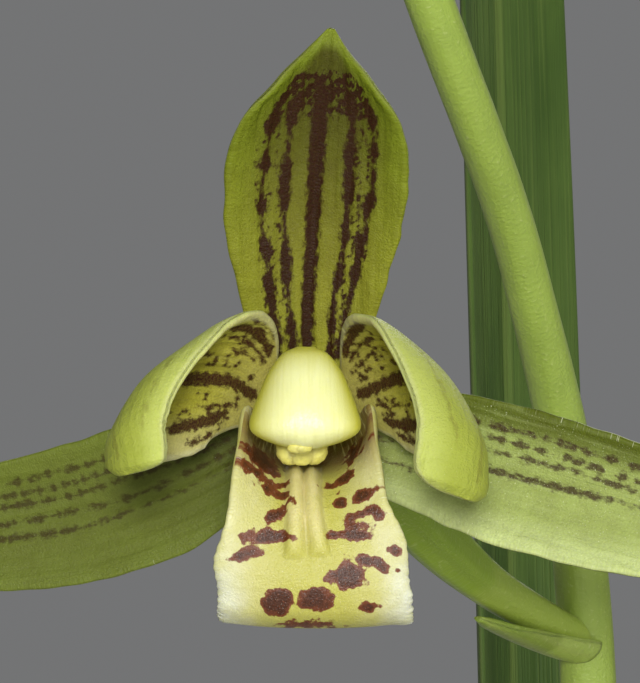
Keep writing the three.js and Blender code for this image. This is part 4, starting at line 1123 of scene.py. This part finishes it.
def other_bloom(name, looks, seed):
    """A bloom of the same forms with fewer points. All but its lip is one piece, joined by a hub."""
    matrix = bloom_matrix(OTHER_BLOOMS[name])
    build = Build(matrix)
    opposite_sepal = {**LATERAL_RIGHT, "mirrored": True}
    opposite_petal = {**PETAL_RIGHT, "mirrored": True}
    tepals = [
        (DORSAL_SEPAL, 70, 28, (0, 1), together(stripe_marks(DORSAL_STRIPES, seed), dorsal_cloud)),
        (LATERAL_RIGHT, 60, 22, (2, 3), stripe_marks(LATERAL_RIGHT_STRIPES, seed + 1, 30)),
        (opposite_sepal, 60, 22, (2, 3), stripe_marks(LATERAL_RIGHT_STRIPES, seed + 2, 30)),
        (PETAL_RIGHT, 60, 30, (4, 5), stripe_marks(PETAL_STRIPES, seed + 3)),
        (opposite_petal, 60, 30, (4, 5), stripe_marks(PETAL_STRIPES, seed + 4)),
    ]
    for i, (form, steps, widths, materials, mark) in enumerate(tepals):
        tepal_blade(build, form, steps, widths, seed + 5 * i, mark=mark, materials=materials)
    column_bodies(build, 20, 12, 6)
    cap_body(build, 24, 32, 7)
    hub = [(0, 0, -HUB_RADIUS), (0, 0, 0), (0, 0, HUB_RADIUS)]
    rod(build, hub, [0.9, HUB_RADIUS, 0.9], 20, 8, material=6)
    # Both lateral sepals of these blooms take the shaded copy of the lateral face, painted darker as painted
    # shade.
    faces = ["dorsal", "dorsal_back", "lateral_left", "lateral_back", "petal", "petal_back", "column", "cap"]
    build.piece("fine_bloom_" + name, "tepal", [looks[face] for face in faces], ["bloom_" + name])
    build = Build(matrix)
    lip_blade(build, 64, 40)
    build.piece("fine_lip_" + name, "lip", [looks["lip"], looks["lip_back"]], ["lip_" + name])


def ovary_path(bloom):
    """The way of an ovary with its pedicel, from the bloom's node on the stem to the bloom's back."""
    face = np.array(bloom_matrix(bloom).to_3x3() @ Vector((0, 0, 1)))
    end = np.array(bloom["at"]) + face * OVARY_END
    before = end - 7 * face
    middle = (np.array(bloom["node"]) + before) / 2 - np.array([0, 0, 1.2])
    return [bloom["node"], middle, before, end]


def bract(build, path, seed):
    """A small pointed leaf under the foot of an ovary."""
    spine, across = [], []
    for u, below in zip(BRACT_ALONG, BRACT_BELOW):
        ahead = heading_along(path, np.array([u]))[0]
        aside = unit(np.cross([0, 0, 1], ahead))
        spine.append(along(path, np.array([u]))[0] + below * np.cross(aside, ahead))
        across.append(aside)
    form = {"spine": spine, "across": across, "half": BRACT_HALF, "curl": BRACT_CURL}
    blade(build, blade_stations(form, 30), 16, 0.5, 0.3, materials=(2, 2),
          roll=lambda u, sign: 0.2 * ripples(seed, 3 * u + sign))


def bud(build, base, node, radius, length):
    """A closed bud with three shallow seams, and its pedicel."""
    def seams(u, angle):
        return 1 - 0.09 * np.exp(-((np.sin(1.5 * angle + 0.6) / 0.16) ** 2))

    start = np.array(base, float)
    ahead = unit(start - np.array(node))
    girths = [share * radius for share in BUD_PROFILE]
    rod(build, [start, start + ahead * length], girths, 36, 40, material=3, shape=seams)
    rod(build, [node, start + 1.5 * ahead], [0.8, 1.2], 20, 20, material=1)


def sheath_leaf(build, sheath, turn, seed):
    """A dry sheath wrapped round the lower stem."""
    u = np.linspace(sheath["from"], sheath["to"] + 0.03, len(SHEATH_INSET))
    centre, ahead = along(SCAPE_PATH, u), heading_along(SCAPE_PATH, u)
    side = np.array([math.cos(turn), math.sin(turn), 0])
    side = unit(side - (ahead * side).sum(1, keepdims=True) * ahead)
    radius = sheath["radius"] - np.array(SHEATH_INSET)
    form = {
        "spine": centre + side * radius[:, None], "across": np.cross(-side, ahead),
        "half": radius * SHEATH_HALF, "curl": SHEATH_CURL,
    }
    blade(build, blade_stations(form, 70), 60, 0.4, 0.2, materials=(4, 4),
          frill=lambda u, sign: 0.03 * ripples(seed + sign, 8 * u))


def flower_stem(looks):
    def uneven(u, angle):
        grain = ripples(3, 2 * np.cos(angle), 2 * np.sin(angle), 60 * u)
        return 1 + 0.012 * np.cos(5 * angle + 6 * u) + 0.01 * grain

    def ribbed(u, angle):
        return 1 + 0.07 * np.cos(6 * angle + 2 * u) * smooth(u, 0.25, 0.6)

    build = Build()
    rod(build, SCAPE_PATH, SCAPE_RADII, 32, 280, shape=uneven)
    for i, path in enumerate([MAIN_OVARY, *map(ovary_path, OTHER_BLOOMS.values())]):
        rod(build, path, OVARY_RADII, 36, 60, material=1, shape=ribbed)
        bract(build, path, i)
    for closed in BUDS:
        bud(build, closed["at"], closed["node"], closed["radius"], closed["length"])
    for i, sheath in enumerate(SHEATHS):
        sheath_leaf(build, sheath, 2.4 * i + 4, 60 + i)
    faces = ["stem", "ovary", "bract", "bud", "husk"]
    build.piece("fine_flower_stem", "stem", [looks[face] for face in faces], ["flower_stem"])


def bulb_radius(growth, share):
    return growth["size"] * along(BULB_PROFILE, share)


def leaf_form(growth, leaf):
    """The leaf's spine starts at its foot and leans over more and more, swaying sideways."""
    fan = math.radians(growth["fan"])
    outward = np.array([math.cos(fan), math.sin(fan), 0]) * leaf["side"]
    aside = np.array([-outward[1], outward[0], 0])
    tall = BULB_HEIGHT * growth["size"]
    if leaf["seat"] == "crown":
        away, height = CROWN_FROM, tall + CROWN_LIFT
    else:
        share = SEATS[leaf["seat"]]
        place = share * (len(BULB_PROFILE) - 1)
        ring = int(place)
        radius = BULB_PROFILE[ring] + (BULB_PROFILE[ring + 1] - BULB_PROFILE[ring]) * (place - ring)
        away, height = radius * growth["size"] + SEAT_GAP, share * (tall + ROOT_DEPTH) - ROOT_DEPTH
    foot = np.array([*growth["at"], MIX_TOP + height]) + outward * away
    spine = []
    reach = rise = 0
    for i in range(LEAF_STATIONS + 1):
        share = i / LEAF_STATIONS
        spine.append(foot + outward * reach + aside * leaf["sway"] * share**2 + np.array([0, 0, rise]))
        first, last = leaf["lean"]
        lean = math.radians(first + (last - first) * (share + 0.5 / LEAF_STATIONS) ** 1.5)
        reach += math.sin(lean) * leaf["length"] / LEAF_STATIONS
        rise += math.cos(lean) * leaf["length"] / LEAF_STATIONS
    turn = math.radians(leaf.get("turn", 0))
    turned = aside * math.cos(turn) + outward * math.sin(turn)
    return {
        "spine": spine, "across": [aside, turned, turned, turned],
        "half": [share * leaf["half"] for share in LEAF_HALF],
        "curl": [curl * leaf.get("fold", 1) for curl in LEAF_CURL],
    }


def fine_leaf(name, number, leaf, looks, seed):
    growth = GROWTHS[name]
    build = Build()

    def wave(u, sign):
        return 0.1 * ripples(seed + sign, 5 * u)

    def edge(u, sign):
        return 0.012 * ripples(seed + 3 + sign, 12 * u)

    def keel(u, v, reach):
        return -0.35 * np.exp(-((reach / 0.5) ** 2)) * (1 - smooth(u, 0.9, 1))

    stations = blade_stations(leaf_form(growth, leaf), 120)
    blade(build, stations, 20, 0.9, 0.5, roll=wave, frill=edge, relief=keel)
    node = f"leaf_{name}_{number}"
    build.piece("fine_" + node, "leaf", [looks["leaf"], looks["leaf_back"]], [node])


def husk_form(growth, azimuth, height, half):
    """A dry sheath that hugs the bulb from its foot up to a share of its height."""
    tall = BULB_HEIGHT * growth["size"] + ROOT_DEPTH
    out = np.array([math.cos(azimuth), math.sin(azimuth), 0])
    aside = np.array([-out[1], out[0], 0])
    turned = azimuth - math.radians(growth["fan"])
    squash = 1 / math.hypot(math.cos(turned), math.sin(turned) / BULB_FLATNESS)
    spine, curl = [], []
    for share in np.linspace(HUSK_FOOT, height, len(HUSK_HALF)):
        radius = bulb_radius(growth, np.array([share]))[0] * squash + HUSK_GAP
        level = MIX_TOP - ROOT_DEPTH + share * tall
        spine.append(np.array([*growth["at"], level]) + out * radius)
        curl.append(0.92 * half / radius)
    return {
        "spine": spine, "across": [aside, aside], "half": [half * share for share in HUSK_HALF],
        "curl": [angle * share for angle, share in zip(curl, HUSK_HALF)],
    }


def husks(build, growth, seed):
    """Torn papery sheaths round a bulb, left by its old leaves."""
    draw = random.Random(seed)

    def tear(u, sign):
        return 0.05 * ripples(seed + sign, 30 * u) * smooth(u, 0.3, 0.8)

    def fold(u, v, reach):
        return 0.18 * ripples(seed + 5, 1.2 * reach, 2 * u)

    for turn in HUSK_TURNS:
        azimuth = math.radians(growth["fan"] + turn + draw.uniform(-14, 14))
        form = husk_form(growth, azimuth, draw.uniform(*HUSK_HEIGHTS), draw.uniform(*HUSK_HALVES))
        blade(build, blade_stations(form, 24), 16, 0.35, 0.2, frill=tear, relief=fold, materials=(1, 1))


def fine_bulb(name, looks, seed):
    """A ridged pseudobulb, a little flat across its fan, with its dry sheaths."""
    growth = GROWTHS[name]
    tall = BULB_HEIGHT * growth["size"] + ROOT_DEPTH
    u = np.linspace(0, 1, 52)
    u_grid, angle_grid = round_grid(u, 64)
    ridge = 1 + 0.018 * ripples(seed, 6 * np.cos(angle_grid), 6 * np.sin(angle_grid), u_grid)
    radius = bulb_radius(growth, u)[:, None] * ridge
    fan = math.radians(growth["fan"])
    x, y = radius * np.cos(angle_grid), BULB_FLATNESS * radius * np.sin(angle_grid)
    rings = np.stack([
        growth["at"][0] + x * math.cos(fan) - y * math.sin(fan),
        growth["at"][1] + x * math.sin(fan) + y * math.cos(fan),
        MIX_TOP - ROOT_DEPTH + u_grid * tall,
    ], -1)
    place = np.stack([angle_grid * 12, u_grid * tall, u_grid * 0], -1)
    share = np.stack([u_grid, np.cos(angle_grid), np.sin(angle_grid)], -1)
    build = Build()
    loft(build, rings, place, share)
    husks(build, growth, seed + 50)
    node = "bulb_" + name
    build.piece("fine_" + node, "pseudobulb", [looks["bulb"], looks["husk"]], [node])


def pot_inside(height):
    """The radius of the pot's inner wall at a height."""
    low = POT_FOOT - POT_WALL
    return low + (height - POT_FLOOR) / (POT_HEIGHT - POT_FLOOR) * (POT_RIM - POT_RIM_WALL - low)


def rounded(corners, radius, steps=5):
    """A line through corners of (radius, height), each one but the ends rounded off."""
    corners = [np.array(corner, float) for corner in corners]
    line = [corners[0]]
    for before, corner, after in zip(corners, corners[1:], corners[2:]):
        into, out = before - corner, after - corner
        reach = min(radius, np.linalg.norm(into) / 2.2, np.linalg.norm(out) / 2.2)
        start, end = corner + unit(into) * reach, corner + unit(out) * reach
        for t in np.linspace(0, 1, steps):
            line.append((1 - t) ** 2 * start + 2 * t * (1 - t) * corner + t**2 * end)
    return line + [corners[-1]]


def fine_pot(looks):
    """The pot: its section turned round, a little uneven outside, with the drain holes cut through."""
    band = POT_HEIGHT - POT_BAND
    corners = [
        (0, 0.6), (POT_FOOT - 9, 0.6), (POT_FOOT - 7, 0), (POT_FOOT, 0), (POT_BODY, band),
        (POT_RIM - 0.6, band + 1), (POT_RIM, POT_HEIGHT), (pot_inside(POT_HEIGHT), POT_HEIGHT),
        (pot_inside(POT_FLOOR), POT_FLOOR), (0, POT_FLOOR),
    ]
    line = rounded(corners, POT_ROUNDING)
    dense = [line[0]]
    for a, b in zip(line, line[1:]):
        pieces = max(1, int(np.linalg.norm(b - a) / 2.5))
        dense += [a + (b - a) * (i + 1) / pieces for i in range(pieces)]
    radius, height = np.array(dense).T
    radius_grid, angle_grid = round_grid(np.maximum(radius, 0.5), POT_COLUMNS)
    height_grid = np.broadcast_to(height[:, None], radius_grid.shape)
    wobble = 0.22 * ripples(77, height_grid / 6, 0.3 * np.cos(angle_grid)) * smooth(radius_grid, 30, 50)
    wobble = wobble * smooth(height_grid, 2, 12) * (1 - smooth(height_grid, 140, 148))
    reach = radius_grid + wobble
    rings = np.stack([reach * np.cos(angle_grid), reach * np.sin(angle_grid), height_grid], -1)
    blank = np.zeros_like(rings)
    build = Build()
    loft(build, rings, blank, blank)
    pot = build.piece("fine_pot", "terracotta", [looks["clay"]], ["pot"])
    holes = Build()
    for i in range(DRAIN_COUNT):
        turn = 2 * math.pi * (i + 0.25) / DRAIN_COUNT
        x, y = DRAIN_RING * math.cos(turn), DRAIN_RING * math.sin(turn)
        rod(holes, [(x, y, -2), (x, y, POT_FLOOR + 3)], [DRAIN_RADIUS, DRAIN_RADIUS], 48, 2)
    cutter = holes.piece("drain_holes", "terracotta", [looks["clay"]])
    cut = pot.modifiers.new("drain", "BOOLEAN")
    cut.operation = "DIFFERENCE"
    cut.solver = "EXACT"
    cut.object = cutter
    bpy.context.view_layer.update()
    pot.data = bpy.data.meshes.new_from_object(pot.evaluated_get(bpy.context.evaluated_depsgraph_get()))
    pot.modifiers.clear()
    bpy.data.objects.remove(cutter)
    pot.data.set_sharp_from_angle(angle=math.radians(40))


def chip(build, centre, size, turn, tone, draw):
    """A chip of bark: a broken slab with blunt corners."""
    rows, columns = 7, 12
    rise = np.linspace(-1, 1, rows)
    angle = np.linspace(0, 2 * math.pi, columns, endpoint=False)
    cos, sin = np.cos(angle), np.sin(angle)
    block = np.maximum(np.abs(cos), np.abs(sin)) ** -0.75
    ragged = np.array([draw.uniform(0.82, 1.08) for _ in range(columns)])
    rings = []
    for z in rise:
        girth = (1 - abs(z) ** 5 * 0.45) * block * ragged * draw.uniform(0.93, 1.05)
        slant = draw.uniform(-0.06, 0.06)
        level = np.full(columns, z) + 0.12 * cos * slant
        rings.append(np.stack([cos * girth + slant, sin * girth, level], -1))
    shape = np.array(rings) * np.array(size)
    tilt = Matrix.Rotation(turn[0], 3, "X") @ Matrix.Rotation(turn[1], 3, "Y")
    matrix = np.array(Matrix.Rotation(turn[2], 3, "Z") @ tilt)
    share = np.zeros_like(shape)
    share[..., 0] = tone
    loft(build, shape @ matrix.T + np.array(centre), shape + np.array(centre), share)


def fine_mix(looks):
    """The mix: a plug with an uneven top, and loose chips on it that keep clear of the bulbs."""
    build = Build()
    low = POT_FLOOR + MIX_GAP
    edge = pot_inside(MIX_TOP)
    outer = [(pot_inside(low) - MIX_GAP, low), (pot_inside(MIX_TOP - 4) - MIX_GAP, MIX_TOP - 4)]
    inner = [(edge * (1 - share) - MIX_GAP, MIX_TOP - MIX_SINK) for share in np.linspace(0, 0.985, 46)]
    radius, height = np.array(outer + inner).T
    radius_grid, angle_grid = round_grid(radius, 120)
    x, y = radius_grid * np.cos(angle_grid), radius_grid * np.sin(angle_grid)
    bumps = 1.1 * ripples(8, x / 6, y / 6) + 0.7 * ripples(9, x / 2.4, y / 2.4)
    z = np.broadcast_to(height[:, None], x.shape) + np.where(height[:, None] > MIX_TOP - 3, bumps, 0)
    rings = np.stack([x, y, z], -1)
    share = np.zeros_like(rings)
    loft(build, rings, rings, share)
    draw = random.Random(4)
    kept_clear = [(*growth["at"], 13.4 * growth["size"]) for growth in GROWTHS.values()]
    kept_clear.append((*SCAPE_PATH[0][:2], 3))
    edge -= CHIPS["from_wall"]
    lift = CHIPS["lift"]
    placed = 0
    while placed < CHIPS["count"]:
        x, y = draw.uniform(-edge, edge), draw.uniform(-edge, edge)
        length = draw.uniform(*CHIPS["length"])
        if math.hypot(x, y) > edge - length:
            continue
        tread = CHIPS["tread"] * length
        if any(math.hypot(x - at_x, y - at_y) < clear + tread for at_x, at_y, clear in kept_clear):
            continue
        size = (length, length * draw.uniform(*CHIPS["breadth"]), draw.uniform(*CHIPS["thickness"]))
        turn = [draw.gauss(0, CHIPS["tilt"]), draw.gauss(0, CHIPS["tilt"]), draw.uniform(0, math.pi)]
        chip(build, (x, y, MIX_TOP + draw.uniform(-lift, lift)), size, turn, draw.random(), draw)
        placed += 1
    build.piece("fine_potting_mix", "bark_mix", [looks["bark"]], ["potting_mix"])


def make_looks():
    """Every material by the name that the pieces ask for."""
    tepal_back = (srgb(128, 138, 56), srgb(112, 122, 46), srgb(128, 138, 56), srgb(104, 112, 44),
                  srgb(84, 72, 36), 0.4)
    return {
        "dorsal": tepal_surface("dorsal_face", srgb(114, 128, 28), srgb(78, 80, 20), srgb(114, 128, 28),
                                srgb(150, 150, 46), srgb(50, 24, 12), painted_sparkle=0.12, reach=0.85,
                                tip=srgb(126, 140, 40)),
        "dorsal_back": tepal_surface("dorsal_back", *tepal_back),
        # The two lateral sepal faces are a lit and a shaded copy of one face: the left one is painted darker
        # as painted shade and the right one lighter as painted light. The right one's pale lower half is
        # partly its own paler green and partly painted light where it faces up to the lamps. The dark bases
        # of both, near the column, are painted shade from the petals.
        "lateral_right": tepal_surface("lateral_right_face", srgb(198, 211, 138), srgb(160, 174, 94),
                                       srgb(92, 104, 28), srgb(66, 60, 24), srgb(56, 30, 22), 0.9,
                                       painted_sparkle=0.75, reach=0.36),
        "lateral_left": tepal_surface("lateral_left_face", srgb(112, 124, 46), srgb(106, 116, 46),
                                      srgb(112, 124, 50), srgb(42, 44, 12), srgb(54, 34, 20), 0.75,
                                      reach=0.45),
        "lateral_back": tepal_surface("lateral_back", *tepal_back),
        "petal": tepal_surface("petal_face", srgb(208, 202, 128), srgb(184, 180, 64), srgb(196, 196, 84),
                               srgb(188, 180, 92), srgb(62, 30, 24), rim=0.4),
        "petal_back": tepal_surface("petal_back", srgb(172, 182, 80), srgb(164, 174, 70), srgb(192, 202, 104),
                                    srgb(140, 146, 54), srgb(110, 100, 44), 0.35, 0.4, rim=0.25),
        "lip": lip_surface(),
        "lip_back": lip_back_surface(),
        "cap": cap_surface(),
        "column": column_surface("column", srgb(246, 236, 124), srgb(232, 221, 110), 0.1),
        # The scape's dark olive first colour, below the main bloom's node, is painted shade.
        "stem": stem_surface("scape", srgb(94, 112, 42), srgb(158, 180, 78), srgb(142, 163, 68)),
        "ovary": stem_surface("ovary", srgb(156, 176, 70), srgb(138, 164, 48), srgb(150, 172, 62)),
        "bud": stem_surface("bud", srgb(132, 144, 60), srgb(118, 124, 52), srgb(92, 70, 40)),
        "bract": stem_surface("bract", srgb(156, 176, 80), srgb(126, 146, 54), srgb(160, 166, 92)),
        "husk": husk_surface("stem_sheath", srgb(176, 162, 104), srgb(132, 104, 66), srgb(118, 130, 60)),
        "leaf": leaf_surface("leaf_face", srgb(60, 84, 30), srgb(84, 108, 44), srgb(110, 130, 60)),
        "leaf_back": leaf_surface("leaf_back", srgb(70, 88, 40), srgb(94, 112, 54), srgb(118, 134, 72)),
        "bulb": bulb_surface(),
        "clay": clay_surface(),
        "bark": bark_surface(),
    }


def studio():
    """Three soft lamps and a pale backdrop."""
    world = bpy.data.worlds.new("studio")
    bpy.context.scene.world = world
    world.use_nodes = True
    backdrop = world.node_tree.nodes["Background"]
    backdrop.inputs["Color"].default_value = BACKDROP
    backdrop.inputs["Strength"].default_value = BACKDROP_STRENGTH
    for name, (place, size, power) in LAMPS.items():
        lamp = bpy.data.objects.new(name, bpy.data.lights.new(name, "AREA"))
        lamp.data.shape = "DISK"
        lamp.data.size = size
        lamp.data.energy = power
        lamp.location = place
        aim = Vector(LIT_MIDDLE) - Vector(place)
        lamp.rotation_euler = aim.to_track_quat("-Z", "Y").to_euler()
        bpy.context.scene.collection.objects.link(lamp)
    bpy.context.scene.view_settings.view_transform = "Standard"


def floor_disc():
    """A round floor whose top is just below the pot."""
    rings = np.array([[
        (FLOOR_RADIUS * math.cos(angle), FLOOR_RADIUS * math.sin(angle), height)
        for angle in np.linspace(0, 2 * math.pi, 128, endpoint=False)
    ] for height in FLOOR_HEIGHTS])
    build = Build()
    loft(build, rings, np.zeros_like(rings), np.zeros_like(rings))
    return build.piece("floor", "floor", [floor_surface()])


def camera():
    view = bpy.data.objects.new("camera", bpy.data.cameras.new("camera"))
    view.data.sensor_width = SENSOR
    view.data.lens = FOCAL_PIXELS / PHOTO_HEIGHT * SENSOR
    view.data.clip_start = 0.01
    view.location = [value * MM for value in CAMERA_AT]
    view.rotation_euler = (math.pi / 2, 0, 0)
    bpy.context.scene.collection.objects.link(view)
    bpy.context.scene.camera = view


looks = make_looks()
main_bloom(looks)
for count, name in enumerate(OTHER_BLOOMS):
    other_bloom(name, looks, BLOOM_SEED + 20 * count)
flower_stem(looks)
for count, (name, growth) in enumerate(GROWTHS.items()):
    fine_bulb(name, looks, BULB_SEED + count)
    for number, leaf in enumerate(growth["leaves"], 1):
        fine_leaf(name, number, leaf, looks, LEAF_SEED + 10 * count + number)
fine_pot(looks)
fine_mix(looks)
studio()
camera()
floor_disc()
